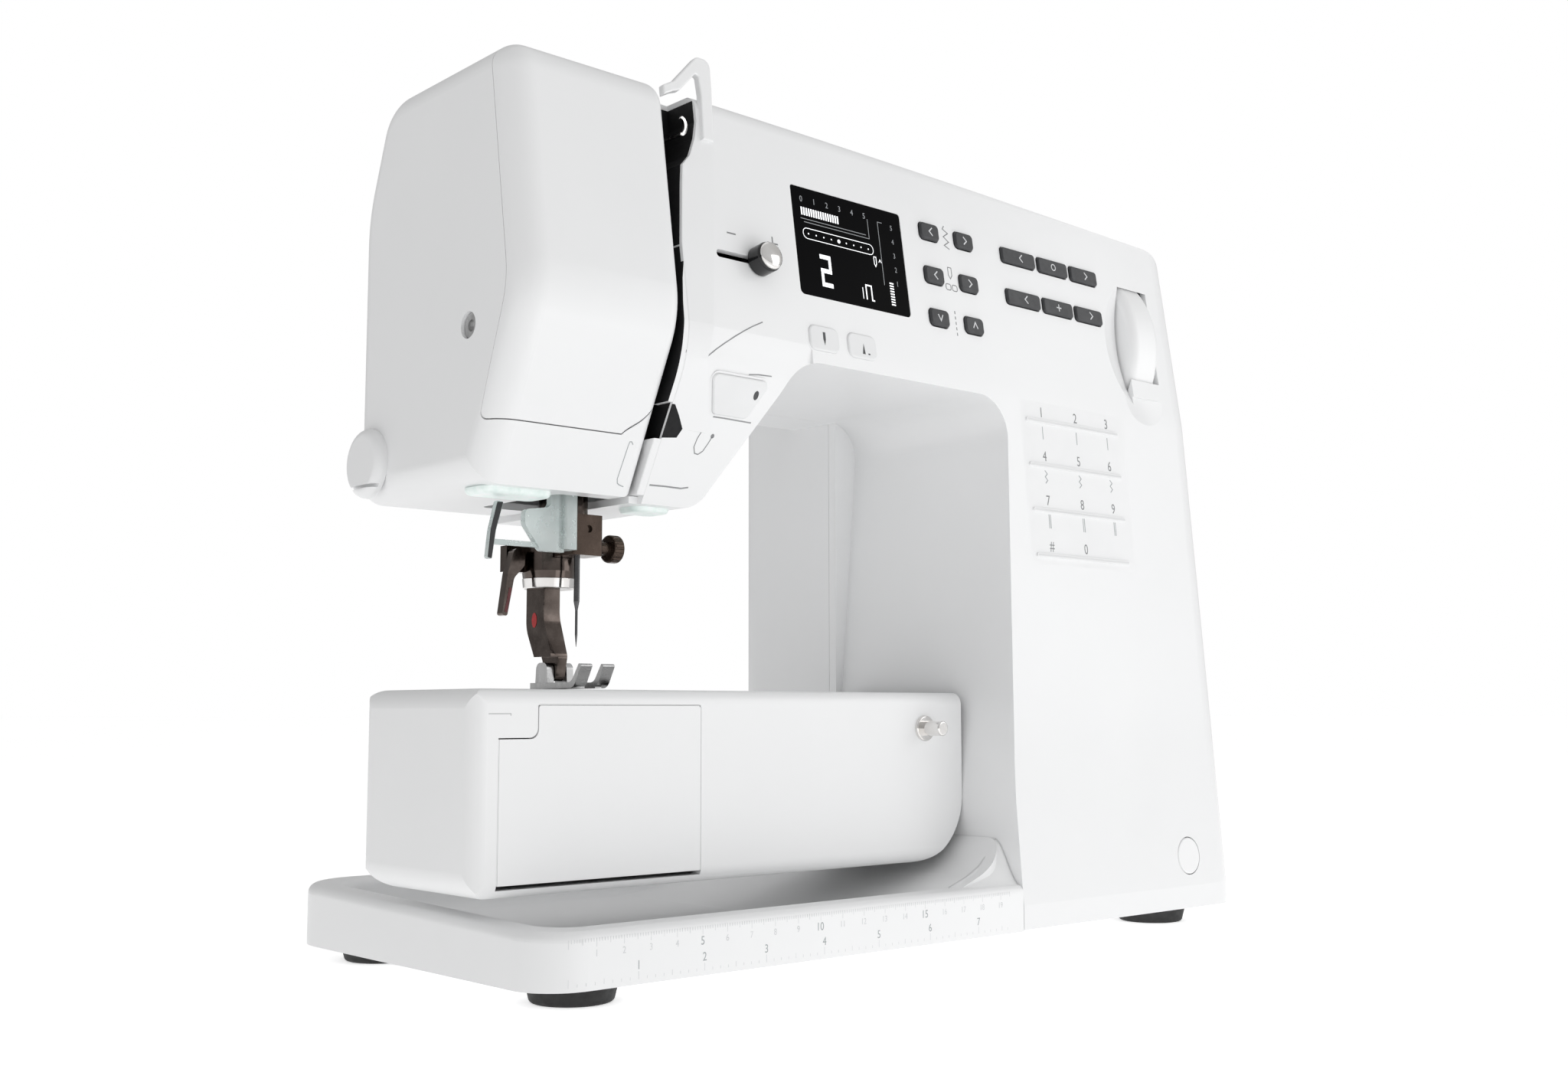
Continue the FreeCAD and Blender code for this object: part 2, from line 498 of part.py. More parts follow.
# take-up guard: flat loop standing over the top of the thread slot
GUARD = [(68.8, 284.0), (73.6, 284.0), (75.0, 304.0), (75.3, 315.0, 3), (69.2, 315.0, 3), (57.9, 302.9, 2),
         (53.2, 300.2), (53.2, 296.6), (57.5, 299.0, 1), (60.4, 300.1, 1), (69.3, 309.4, 1), (69.8, 301.0)]
guard = panel(GUARD, -1.8, 0.8)
guard = fil(guard, 0.6, lambda m, e: panel([(50, 280), (80, 280), (80, 320), (50, 320)], -1.85, -1.7).isInside(m, 1e-3, True), "guard front")
guard = guard.cut(body_out.cut(xz(SLOT_TOP, 0, SLOT_BACK)))
nodes["take_up_guard"] = biggest(guard)

# lamp lenses on the underside
l1 = xy(rect(-3.0, 24.0, 45.5, 60.0, 4), HEAD_Z - 2.2, HEAD_Z)
l1 = fil(l1, 1.6, lambda m, e: abs(m.z - HEAD_Z + 2.2) < 0.01, "lamp lens")
l2 = xy(rect(58.5, 74.0, 47.0, 60.0, 4), LOBE_Z - 1.8, LOBE_Z)
l2 = fil(l2, 1.3, lambda m, e: abs(m.z - LOBE_Z + 1.8) < 0.01, "lamp lens 2")
nodes["lamp_lens"] = Part.makeCompound([l1, l2])

# ---------------------------------------------------------------------------
# Base tray and feet
# ---------------------------------------------------------------------------
tray = xy([(BASE_L, 0.12, 16), (COL_L - 0.2, 0.12), (COL_L - 0.2, BODY_D), (BASE_L, BODY_D, 24)],
          BASE_Z0, 70)
# rim rises to the back
rim = yz([(0, BASE_Z0), (BODY_D, BASE_Z0), (BODY_D, RIM_BACK), (13, RIM_FRONT + 0.3),
          (0, RIM_FRONT)], BASE_L - 5, COL_L + 5)
tray = tray.common(rim)
trough = xy([(3.0, 12.5, 10), (COL_L + 5, 12.5), (COL_L + 5, 153, 0), (3.0, 153, 18)], TROUGH_Z, 80)
tray = biggest(tray.cut(trough).removeSplitter())
tray = fil(tray, 5.0, lambda m, e: abs(m.z - TROUGH_Z) < 0.05 and m.x < COL_L - 2, "trough floor")
tray = fil(tray, 3.0, lambda m, e: m.x < 148 and (
    (RIM_FRONT - 0.2 < m.z < RIM_BACK + 0.2)), "rim top")
# the floor of the trough curves up to the column
ramp = xz([(128, 10), (128, TROUGH_Z - 0.4), (150, 16.5, 60), (178, 24.6, 50), (193, 30.0, 25),
           (COL_L - 0.2, 41), (COL_L - 0.2, 10)], 8.0, 157.0)
ramp = fil(ramp, 9.0, lambda m, e: abs(m.y - 8.0) < 0.01 and m.x > 140 and 15 < m.z < 40.5 and e.Length > 4, "ramp front")
tray = tray.fuse(ramp).removeSplitter()
under = xy([(COL_L - 0.2, WALL + 0.4), (BASE_R - WALL - 0.4, WALL + 0.4, 12),
            (BASE_R - WALL - 0.4, BODY_D - WALL - 0.4, 17), (COL_L - 0.2, BODY_D - WALL - 0.4)],
           BASE_Z0, 11.0)
under = under.cut(box(COL_L - 1, COL_L + WALL + 0.4, -5, 200, 7.9, 20))
under = under.cut(box(COL_L, COL_L + 14.0, BODY_D - 14.0, BODY_D, 7.9, 20))
tray = fuse(tray, under)
nodes["base_tray"] = biggest(tray)

feet = []
for (fx, fy) in ((20.0, 27.0), (20.0, 146.0), (318.0, 27.0), (318.0, 146.0)):
    f = Part.makeCone(13.0, 15.0, BASE_Z0, V(fx, fy, 0), V(0, 0, 1))
    feet.append(fil(f, 1.5, lambda m, e: m.z < 0.1, "foot"))
nodes["rubber_feet"] = Part.makeCompound(feet)

# ---------------------------------------------------------------------------
# Free arm, hook door, needle plate, feed dog
# ---------------------------------------------------------------------------
def arm2(t, x1):
    a = yz([(ARM2_Y0 + t, ARM2_Z0 + t, 5 - t * 0.6), (ARM2_Y0 + t, ARM2_Z1 - t, 4.5 - t * 0.6),
            (ARM2_Y1 - t, ARM2_Z1 - t, 6 - t), (ARM2_Y1 - t, ARM2_Z0 + t, 15 - t)], ARM2_L - 1, x1)
    b = xz([(ARM2_L + t, ARM2_Z0 + t, 8 - t), (ARM2_L + t, ARM2_Z1 - t, 6 - t), (x1, ARM2_Z1 - t),
            (x1, ARM2_Z0 + t, 25 if t == 0 else 22.5)], 0, 150)
    c = xy([(ARM2_L + t, ARM2_Y0 + t, 5 - t * 0.8), (x1, ARM2_Y0 + t), (x1, ARM2_Y1 - t),
            (ARM2_L + t, ARM2_Y1 - t, 5 - t * 0.8)], 0, 150)
    return a.common(b).common(c)


fa = arm2(0, COL_L - 0.1).cut(arm2(WALL, COL_L + 10).common(box(-30, COL_L + 5, 0, 150, 0, 150)))
fa = biggest(fa)
# door opening in the front wall, with a corner tab left at its upper left
DOOR = [(-5.5, 36.0), (73.0, 36.0), (73.0, 90.3, 1), (8.7, 90.3, 0.8), (8.7, 80.0, 3), (-5.5, 80.0)]
DOOR_CUT = [(-5.9, 34.6), (73.4, 34.6), (73.4, 90.7, 1), (8.3, 90.7, 0.8), (8.3, 80.4, 3), (-5.9, 80.4)]
HINGE_Y, HINGE_Z = 32.6, 38.6
fa = fa.cut(xz(DOOR_CUT, ARM2_Y0 - 5, ARM2_Y0 + 6))
for (hx0, hx1) in ((-10.5, -6.4), (73.9, 79.0)):
    b = box(hx0, hx1, ARM2_Y0 + 1.2, ARM2_Y0 + 6.0, 35.0, 43.0)
    fa = fa.fuse(b.common(arm2(0.6, COL_L)))
fa = fa.cut(cx(HINGE_Y, HINGE_Z, 1.25, -9.6, 77.6))
door = xz(DOOR, ARM2_Y0, ARM2_Y0 + WALL).common(arm2(0, COL_L))
door = door.fuse(cx(HINGE_Y, HINGE_Z, 2.3, -5.2, 72.7))
door = door.fuse(cx(HINGE_Y, HINGE_Z, 1.2, -9.4, 77.4)).removeSplitter()
nodes["hook_door"] = biggest(door)
# needle plate let into the top
PL = [(4.0, 36.0, 3), (90.0, 36.0, 3), (90.0, 92.0, 3), (4.0, 92.0, 3)]
fa = fa.cut(xy(PL, ARM2_Z1 - 4, ARM2_Z1 + 3))
plate = xy([(p[0] + math.copysign(0.05, 47 - p[0]), p[1] + math.copysign(0.05, 64 - p[1]), 3)
            for p in PL], ARM2_Z1 - 2.0, ARM2_Z1)
plate = plate.cut(xy(rect(NEEDLE_X - 3.6, NEEDLE_X + 3.6, NEEDLE_Y - 1.7, NEEDLE_Y + 1.7, 1.5), 80, 110))
for (fx0, fx1) in ((NEEDLE_X - 9.6, NEEDLE_X - 5.0), (NEEDLE_X + 5.0, NEEDLE_X + 9.6)):
    plate = plate.cut(xy(rect(fx0, fx1, 52.0, 86.0, 1.0), 80, 110))
for gx in range(6):
    plate = plate.cut(box(60 + gx * 5.0, 60.5 + gx * 5.0, 42, 86, ARM2_Z1 - 0.3, ARM2_Z1 + 1))
nodes["needle_plate"] = plate
fd = box(NEEDLE_X - 9.0, NEEDLE_X + 9.0, 56.0, 82.0, 86.5, 89.0)
fd = fd.cut(box(NEEDLE_X - 3.5, NEEDLE_X + 3.5, 60.0, 70.0, 80, 92))
for (fx0, fx1) in ((NEEDLE_X - 9.0, NEEDLE_X - 5.6), (NEEDLE_X + 5.6, NEEDLE_X + 9.0)):
    row = box(fx0, fx1, 56.0, 82.0, 88.0, 95.2)
    for k in range(12):
        y0 = 56.6 + k * 2.1
        row = row.fuse(yz([(y0, 95.1), (y0 + 1.7, 95.1), (y0 + 1.2, 95.75)], fx0, fx1))
    fd = fd.fuse(row)
nodes["feed_dog"] = biggest(fd.removeSplitter())
# stud for the slide-on table, with its ring
STUD_X, STUD_Z = 182.0, 82.0
fa = fa.cut(cy(STUD_X, STUD_Z, 3.0, 20, 40))
stud = cy(STUD_X, STUD_Z, 4.8, ARM2_Y0 - 1.2, ARM2_Y0)
stud = fil(stud, 0.5, lambda m, e: abs(m.y - ARM2_Y0 + 1.2) < 0.01, "stud ring")
stud = stud.fuse(cy(STUD_X, STUD_Z, 2.8, ARM2_Y0 - 10.0, ARM2_Y0 + 4.5))
stud = fuse(stud, cy(STUD_X, STUD_Z, 4.6, ARM2_Y0 + WALL + 0.1, ARM2_Y0 + 5.0))
stud = fil(stud, 0.6, lambda m, e: abs(m.y - ARM2_Y0 + 10.0) < 0.01, "stud tip")
nodes["table_stud"] = stud
nodes["free_arm_shell"] = biggest(fa.removeSplitter())

# ---------------------------------------------------------------------------
# Cast frame
# ---------------------------------------------------------------------------
ch = fuse(
    box(61, 234, 84, 92, 224, 275),                       # arm web
    box(68, 78, SHAFT_Y - 10, 86, SHAFT_Z - 11, SHAFT_Z + 11),     # main shaft brackets
    box(214, 226, SHAFT_Y - 10, 86, SHAFT_Z - 11, SHAFT_Z + 11),
    box(220.5, 234, 84, 100, 14, 275),                    # post in the column
    box(208, 330, 74, 148, 11.2, 15),                     # foot
    box(86, 234, 84, 90, 58.5, 80),                       # free arm web
    box(88, 97, LOWER_Y - 8, 86, LOWER_Z - 8.5, LOWER_Z + 8.5),
    box(216, 226, LOWER_Y - 8, 86, LOWER_Z - 8.5, LOWER_Z + 8.5),
    box(8, 66, 91, 97, 166, 290),                         # head plate
    box(55, 66, 84, 97, 224, 275),
    box(38, 52.7, 57, 93, 234, 244),                      # upper bar bracket
    box(38, 52.7, 57, 93, 176, 186),                      # lower bar bracket
    box(58.6, 66, 70, 86, 259.5, 274),                    # take-up pivot bracket
    box(35.5, 40.0, 95, 113, 186, 200),                   # lifter brackets
    box(52.2, 56.0, 95, 113, 186, 200),
    box(284, 326, 110, 142, 14, 56))                      # motor cradle
ch = ch.cut(cx(SHAFT_Y, SHAFT_Z, 5.05, 50, 260))
ch = ch.cut(cx(LOWER_Y, LOWER_Z, 4.05, 60, 260))
ch = ch.cut(cz(NEEDLE_X, NEEDLE_Y, 3.55, 160, 290))
ch = ch.cut(cz(BAR_X, BAR_Y, 4.05, 160, 290))
ch = ch.cut(cx(74.0, 266.0, 2.05, 56, 68))
ch = ch.cut(cx(108.0, 193.0, 2.55, 30, 60))
ch = ch.cut(cx(MOTOR_Y, MOTOR_Z, 26.02, 280, 332))
nodes["cast_frame"] = biggest(ch.removeSplitter())

# ---------------------------------------------------------------------------
# Drive: main shaft, hand wheel, belts, motor, lower shaft, hook
# ---------------------------------------------------------------------------
ms = fuse(cx(SHAFT_Y, SHAFT_Z, 5.0, 61, 348),
          cx(SHAFT_Y, SHAFT_Z, 14.0, 61, 66),
          cx(SHAFT_Y + 10.0, SHAFT_Z, 2.5, 58.5, 62),
          cx(SHAFT_Y, SHAFT_Z, PULLEY_UP, 236, 246),
          cx(SHAFT_Y, SHAFT_Z, PULLEY_UP + 2.5, 234.8, 236),
          cx(SHAFT_Y, SHAFT_Z, PULLEY_UP + 2.5, 246, 247.2),
          cx(SHAFT_Y, SHAFT_Z, PULLEY_BIG, 262, 272),
          cx(SHAFT_Y, SHAFT_Z, PULLEY_BIG + 2.0, 260.8, 262),
          cx(SHAFT_Y, SHAFT_Z, PULLEY_BIG + 2.0, 272, 273.2))
nodes["main_shaft"] = biggest(ms)

hw = cx(SHAFT_Y, SHAFT_Z, WHEEL_R, WHEEL_L, WHEEL_RIM_R)
hw = fil(hw, 4.0, lambda m, e: e.Length > 200, "wheel rim")
hub = cx(SHAFT_Y, SHAFT_Z, 23.6, WHEEL_RIM_R - 1, WHEEL_END)
hub = fil(hub, 5.0, lambda m, e: abs(m.x - WHEEL_END) < 0.01 and e.Length > 100, "wheel knob")
hw = fuse(hw, hub)
hw = hw.cut(cx(SHAFT_Y, SHAFT_Z, 38.0, WHEEL_RIM_R - 11.5, WHEEL_RIM_R + 1)
            .cut(cx(SHAFT_Y, SHAFT_Z, 23.6, 200, 400)))
for k in range(16):
    a = 2 * math.pi * k / 16
    hw = hw.cut(cx(SHAFT_Y + 24.6 * math.cos(a), SHAFT_Z + 24.6 * math.sin(a), 2.0, 347.5, 357))
hw = hw.cut(cx(SHAFT_Y, SHAFT_Z, 5.02, 280, 348.2))
nodes["hand_wheel"] = biggest(hw.removeSplitter())


def belt(y0, z0, r0, y1, z1, r1, t, x0, x1):
    """Flat belt run round two pulleys: the outer loop less the inner loop."""
    def loop(a, b):
        d = math.hypot(y1 - y0, z1 - z0)
        ang = math.atan2(z1 - z0, y1 - y0)
        k = math.acos((a - b) / d)

        def p(yc, zc, r, th):
            return V(x0, yc + r * math.cos(th), zc + r * math.sin(th))
        e = [Part.LineSegment(p(y0, z0, a, ang + k), p(y1, z1, b, ang + k)).toShape(),
             Part.Arc(p(y1, z1, b, ang + k), p(y1, z1, b, ang), p(y1, z1, b, ang - k)).toShape(),
             Part.LineSegment(p(y1, z1, b, ang - k), p(y0, z0, a, ang - k)).toShape(),
             Part.Arc(p(y0, z0, a, ang - k), p(y0, z0, a, ang + math.pi),
                      p(y0, z0, a, ang + k)).toShape()]
        return Part.Face(Part.Wire(e)).extrude(V(x1 - x0, 0, 0))
    return loop(r0 + 0.3 + t, r1 + 0.3 + t).cut(loop(r0 + 0.3, r1 + 0.3))


nodes["timing_belt"] = belt(SHAFT_Y, SHAFT_Z, PULLEY_UP, LOWER_Y, LOWER_Z, PULLEY_LOW, 1.6, 236.6, 245.4)
nodes["drive_belt"] = belt(SHAFT_Y, SHAFT_Z, PULLEY_BIG, MOTOR_Y, MOTOR_Z, PULLEY_MOTOR, 1.5, 262.6, 271.4)

mo = fuse(cx(MOTOR_Y, MOTOR_Z, 26.0, 279, 330), cx(MOTOR_Y, MOTOR_Z, 9.0, 276, 280))
mo = fil(mo, 2.0, lambda m, e: e.Length > 150, "motor can")
mo = mo.cut(cx(MOTOR_Y, MOTOR_Z, 3.05, 270, 296))
for k in range(6):
    a = 2 * math.pi * k / 6
    mo = mo.cut(cx(MOTOR_Y + 17 * math.cos(a), MOTOR_Z + 17 * math.sin(a), 2.6, 275, 281))
nodes["motor"] = biggest(mo)
nodes["motor_pulley"] = fuse(cx(MOTOR_Y, MOTOR_Z, 3.0, 258.5, 294),
                             cx(MOTOR_Y, MOTOR_Z, PULLEY_MOTOR, 262, 272),
                             cx(MOTOR_Y, MOTOR_Z, PULLEY_MOTOR + 2, 260.6, 262),
                             cx(MOTOR_Y, MOTOR_Z, PULLEY_MOTOR + 2, 272, 273.4))

nodes["lower_shaft"] = fuse(cx(LOWER_Y, LOWER_Z, 4.0, 50.5, 252),
                            cx(LOWER_Y, LOWER_Z, PULLEY_LOW, 236, 246),
                            cx(LOWER_Y, LOWER_Z, PULLEY_LOW + 2.5, 234.8, 236),
                            cx(LOWER_Y, LOWER_Z, PULLEY_LOW + 2.5, 246, 247.2))
hk = cx(LOWER_Y, LOWER_Z, 18.5, 20.0, 43.5).cut(cx(LOWER_Y, LOWER_Z, 15.0, 15, 40.5))
hk = hk.fuse(cx(LOWER_Y, LOWER_Z, 7.5, 43.0, 58.0))
hk = hk.cut(yz([(LOWER_Y - 4, LOWER_Z + 10), (LOWER_Y + 26, LOWER_Z + 4), (LOWER_Y + 26, LOWER_Z + 26),
                (LOWER_Y + 6, LOWER_Z + 26)], 24.0, 34.0))
hk = hk.cut(cx(LOWER_Y, LOWER_Z, 4.02, 50.4, 60))
nodes["rotary_hook"] = biggest(hk.removeSplitter())
bc = cx(LOWER_Y, LOWER_Z, 14.4, 17.0, 39.8).cut(cx(LOWER_Y, LOWER_Z, 12.6, 19.5, 45))
bc = bc.fuse(cx(LOWER_Y, LOWER_Z, 2.6, 18.0, 38.0))
bc = bc.fuse(box(14.0, 17.5, LOWER_Y - 2.0, LOWER_Y + 2.0, LOWER_Z + 2, ARM2_Z1 - 2.1))
nodes["bobbin_case"] = biggest(bc.removeSplitter())
bob = fuse(cx(LOWER_Y, LOWER_Z, 4.4, 20.0, 37.6), cx(LOWER_Y, LOWER_Z, 11.6, 20.0, 21.2),
           cx(LOWER_Y, LOWER_Z, 11.6, 36.4, 37.6)).cut(cx(LOWER_Y, LOWER_Z, 2.66, 10, 60))
for k in range(6):
    a = 2 * math.pi * k / 6
    bob = bob.cut(cx(LOWER_Y + 8 * math.cos(a), LOWER_Z + 8 * math.sin(a), 1.4, 15, 45))
nodes["bobbin"] = biggest(bob)

# ---------------------------------------------------------------------------
# Needle bar, needle, presser bar, foot, threader, take-up lever, lifter
# ---------------------------------------------------------------------------
SCREW_Z = 144.9
nodes["needle_bar"] = fil(cz(NEEDLE_X, NEEDLE_Y, 3.5, 147.0, 284.0), 0.6,
                          lambda m, e: e.Length > 15 and m.z > 280, "needle bar")
nc = box(NEEDLE_X - 6.3, NEEDLE_X + 6.5, NEEDLE_Y - 6.2, NEEDLE_Y + 5.0, 141.5, 155.5)
nc = fil(nc, 1.0, lambda m, e: abs(e.Length - 14.0) < 0.1, "needle clamp")
nc = nc.cut(cz(NEEDLE_X, NEEDLE_Y, 3.52, 147.0, 160)).cut(cz(NEEDLE_X, NEEDLE_Y, 1.03, 140, 150))
nc = nc.cut(cx(NEEDLE_Y, SCREW_Z, 1.66, NEEDLE_X + 1.2, NEEDLE_X + 12))
nc = nc.cut(cy(NEEDLE_X + 0.6, 150.6, 1.3, NEEDLE_Y - 8, NEEDLE_Y - 5.2))
nodes["needle_clamp"] = biggest(nc)
cs = fuse(cx(NEEDLE_Y, SCREW_Z, 1.6, NEEDLE_X + 1.6, NEEDLE_X + 8.0),
          cx(NEEDLE_Y, SCREW_Z, 2.4, NEEDLE_X + 6.8, NEEDLE_X + 12.6),
          cx(NEEDLE_Y, SCREW_Z, 4.9, NEEDLE_X + 12.6, NEEDLE_X + 17.0))
cs = fil(cs, 0.8, lambda m, e: e.Length > 29, "clamp screw")
for k in range(16):
    a = 2 * math.pi * k / 16
    cs = cs.cut(cx(NEEDLE_Y + 5.1 * math.cos(a), SCREW_Z + 5.1 * math.sin(a), 0.45,
                   NEEDLE_X + 12.0, NEEDLE_X + 18))
nodes["clamp_screw"] = biggest(cs)
nd = fuse(cz(NEEDLE_X, NEEDLE_Y, 1.0, 126.0, 146.9),
          Part.makeCone(0.45, 1.0, 3.0, V(NEEDLE_X, NEEDLE_Y, 123.0), V(0, 0, 1)),
          cz(NEEDLE_X, NEEDLE_Y, 0.45, 114.5, 123.1),
          Part.makeCone(0.08, 0.45, 4.1, V(NEEDLE_X, NEEDLE_Y, 110.5), V(0, 0, 1)))
nodes["needle"] = nd

nodes["presser_bar"] = fuse(cz(BAR_X, BAR_Y, 4.0, 139.0, 262.0), cz(BAR_X, BAR_Y, 6.5, 206, 214))
pf = Part.makeCone(8.6, 9.4, 6.0, V(BAR_X, BAR_Y, 131.0), V(0, 0, 1))
pf = pf.fuse(cz(BAR_X, BAR_Y, 9.4, 137.0, 146.0))
pf = pf.fuse(yz([(75.5, 133.0), (86.0, 133.0), (86.0, 117.0, 12), (80.0, 105.5, 3), (80.0, 98.9),
                 (72.4, 98.9, 2.5), (70.4, 107.4, 3), (75.5, 121.0, 14)], BAR_X - 5.5, BAR_X + 1.3))
pf = pf.cut(cz(BAR_X, BAR_Y, 4.02, 139.0, 150))
for s in (-1, 1):
    pf = pf.cut(box(min(BAR_X + s * 2.4, BAR_X + s * 12), max(BAR_X + s * 2.4, BAR_X + s * 12),
                    66, 90, 95, 107.2))
SOLE_Y, SOLE_Z = 76.2, 102.4
pf = pf.cut(cx(SOLE_Y, SOLE_Z, 1.55, BAR_X - 12, BAR_X + 12))
lug = box(BAR_X - 16.5, BAR_X - 6.0, 82.0, 86.0, 136.5, 145.5)
pf = pf.fuse(lug).cut(cy(BAR_X - 13.5, 141.0, 1.55, 70, 90))
nodes["presser_foot"] = biggest(pf.removeSplitter())

sole = xy([(NEEDLE_X - 7.0, 56.6, 3), (NEEDLE_X + 7.0, 56.6, 3), (NEEDLE_X + 7.0, 84.0, 2.5),
           (NEEDLE_X - 7.0, 84.0, 2.5)], 96.3, 98.3)
toe = yz([(61.0, 96.3), (61.0, 98.3), (57.6, 98.3, 3.5), (53.2, 104.6, 0.5),
          (51.9, 103.9, 0.5), (56.2, 96.3, 4)], NEEDLE_X - 7.0, NEEDLE_X + 7.0)
sole = sole.fuse(toe)
sole = sole.cut(xy([(NEEDLE_X - 2.2, 40), (NEEDLE_X + 2.2, 40), (NEEDLE_X + 2.2, 68.5, 2.1),
                    (NEEDLE_X - 2.2, 68.5, 2.1)], 90, 110))
for s in (-1, 1):
    a, b = sorted((BAR_X + s * 2.7, BAR_X + s * 5.4))
    sole = sole.fuse(yz([(72.6, 98.0), (80.0, 98.0), (79.4, 105.2, 2.4), (73.0, 105.2, 2.4)], a, b))
sole = fuse(sole, cx(SOLE_Y, SOLE_Z, 1.5, BAR_X - 5.4, BAR_X + 5.4))
nodes["foot_sole"] = biggest(sole)

LV_X, LV_Z = BAR_X - 13.5, 141.0
lev = xz([(LV_X + 1.6, 144.2, 2), (LV_X + 1.6, 138.5, 2), (LV_X - 2.6, 134.0, 3),
          (LV_X - 5.2, 120.8, 0.8), (LV_X - 7.2, 121.2, 0.8), (LV_X - 5.2, 135.4, 3),
          (LV_X - 2.6, 144.2, 2)], 77.6, 81.0)
lev = fuse(lev, cy(LV_X, LV_Z, 1.5, 80.0, 86.0))
nodes["foot_clamp_lever"] = biggest(lev)

th = box(34.0, 39.2, 54.0, 61.0, 142.5, 168.0)
th = fil(th, 1.0, lambda m, e: abs(e.Length - 25.5) < 0.1, "threader body")
plate2 = xz([(19.5, 150.0, 3), (26.0, 141.5, 2), (35.0, 141.5), (35.0, 168.0), (29.6, 168.0), (29.6, 156.4, 2),
             (19.5, 155.0, 2)], 56.2, 58.8)
th = fuse(th, plate2, cz(35.2, 57.5, 2.2, 166.0, 214.0))
fing = xz([(8.8, 157.0, 0.8), (11.4, 157.0, 0.8), (8.6, 147.0, 5), (7.2, 137.6, 0.7), (5.4, 138.0, 0.7),
           (6.4, 147.0, 5)], 56.6, 58.4)
th = fuse(th, fing, box(7.0, 30.0, 56.9, 58.1, 142.6, 144.4))
nodes["needle_threader"] = biggest(th)

TU_Y, TU_Z = 74.0, 266.0
tu = yz([(TU_Y + 5.5, TU_Z - 3.0, 3), (TU_Y + 4.0, TU_Z + 5.5, 4), (44.0, 281.0, 10), (36.0, 291.0, 4),
         (30.6, 289.0, 3), (31.4, 282.4, 3), (38.0, 280.6, 3), (45.0, 274.6, 10), (TU_Y - 4.0, TU_Z - 5.0, 4)],
        53.3, 55.7)
tu = tu.cut(cx(34.6, 286.2, 1.3, 50, 60))
nodes["take_up_lever"] = fuse(tu, cx(TU_Y, TU_Z, 2.0, 53.3, 65.8))

li = fuse(cx(108.0, 193.0, 5.0, 41.0, 51.4), cx(108.0, 193.0, 2.5, 36.0, 55.6),
          yz([(106.0, 188.2), (109.0, 197.8), (140.0, 186.4, 2), (147.5, 178.6, 3.5), (143.5, 173.4, 3.5),
              (136.5, 178.6, 4)], 42.5, 50.0))
nodes["lifter_lever"] = biggest(li)

# ---------------------------------------------------------------------------
# Top: folding handle and spool pin
# ---------------------------------------------------------------------------
HP_Y, HP_Z = 92.5, 290.0
bar = xy([(HANDLE_X0 + 3.0, 58.0, 5), (HANDLE_X1 - 3.0, 58.0, 5), (HANDLE_X1 - 3.0, 96.5, 3),
          (HANDLE_X1 - 11.0, 96.5, 3), (HANDLE_X1 - 11.0, 69.0, 5), (HANDLE_X0 + 11.0, 69.0, 5),
          (HANDLE_X0 + 11.0, 96.5, 3), (HANDLE_X0 + 3.0, 96.5, 3)], 286.4, 293.6)
bar = fil(bar, 2.0, lambda m, e: abs(m.z - 293.6) < 0.01 or abs(m.z - 286.4) < 0.01, "handle")
bar = fuse(bar, cx(HP_Y, HP_Z, 2.5, HANDLE_X0 - 1.6, HANDLE_X0 + 8), cx(HP_Y, HP_Z, 2.5, HANDLE_X1 - 8, HANDLE_X1 + 1.6))
nodes["carry_handle"] = biggest(bar)
front = front.cut(cx(HP_Y, HP_Z, 2.55, HANDLE_X0 - 1.8, HANDLE_X1 + 1.8))

sp = fuse(cx(79.5, 291.5, 2.4, 78.0, SPOOL_X1), cx(79.5, 291.5, 8.5, SPOOL_X1 - 3.5, SPOOL_X1))
sp = fil(sp, 0.9, lambda m, e: abs(m.x - 78.0) < 0.01, "spool pin")
nodes["spool_pin"] = sp

nodes["front_shell"] = biggest(front.removeSplitter())
nodes["rear_shell"] = rear

# ---------------------------------------------------------------------------
# Write every piece about the stored origin
# ---------------------------------------------------------------------------
total = None
for name in sorted(nodes):
    s = nodes[name].copy()
    s.translate(V(-XC, -YC, 0))
    good = s.isValid()
    b = s.BoundBox
    if not good or len(s.Solids) != 1:
        print(name, "valid", good, "solids", len(s.Solids))
    s.exportStep("parts/%s.step" % name)
    total = b if total is None else total.united(b)
print("pieces", len(nodes), "box", [round(q, 2) for q in
      (total.XMin, total.XMax, total.YMin, total.YMax, total.ZMin, total.ZMax)])
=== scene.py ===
import bpy, bmesh, math
from mathutils import Vector, Matrix


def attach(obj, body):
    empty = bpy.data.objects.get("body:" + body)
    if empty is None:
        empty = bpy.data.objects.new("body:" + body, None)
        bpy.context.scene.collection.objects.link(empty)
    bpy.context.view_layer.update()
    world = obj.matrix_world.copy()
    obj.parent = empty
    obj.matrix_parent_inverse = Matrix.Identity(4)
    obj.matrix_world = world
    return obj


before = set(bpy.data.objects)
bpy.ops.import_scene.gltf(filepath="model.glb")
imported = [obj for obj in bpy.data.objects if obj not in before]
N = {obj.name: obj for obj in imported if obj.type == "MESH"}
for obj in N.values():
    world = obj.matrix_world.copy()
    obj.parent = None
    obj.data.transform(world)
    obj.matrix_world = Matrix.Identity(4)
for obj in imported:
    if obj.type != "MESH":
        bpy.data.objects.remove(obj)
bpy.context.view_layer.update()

# ---------------------------------------------------------------------------
# Places. Lengths are in millimetres from the ruler's zero and the base's
# front face; R() turns them into the row frame in metres.
# ---------------------------------------------------------------------------
XC, YC = 170.5, 82.5
LEAN_Z, LEAN_Y, PANEL_T = 213.5, 16.0, 0.1466
LOW_T = LEAN_Y / (LEAN_Z - 17.0)
LOBE_T, LOBE_Y, LOBE_Z = 0.528, 42.0, 158.5


def unit(t):
    h = math.hypot(1, t)
    return t / h, 1.0 / h


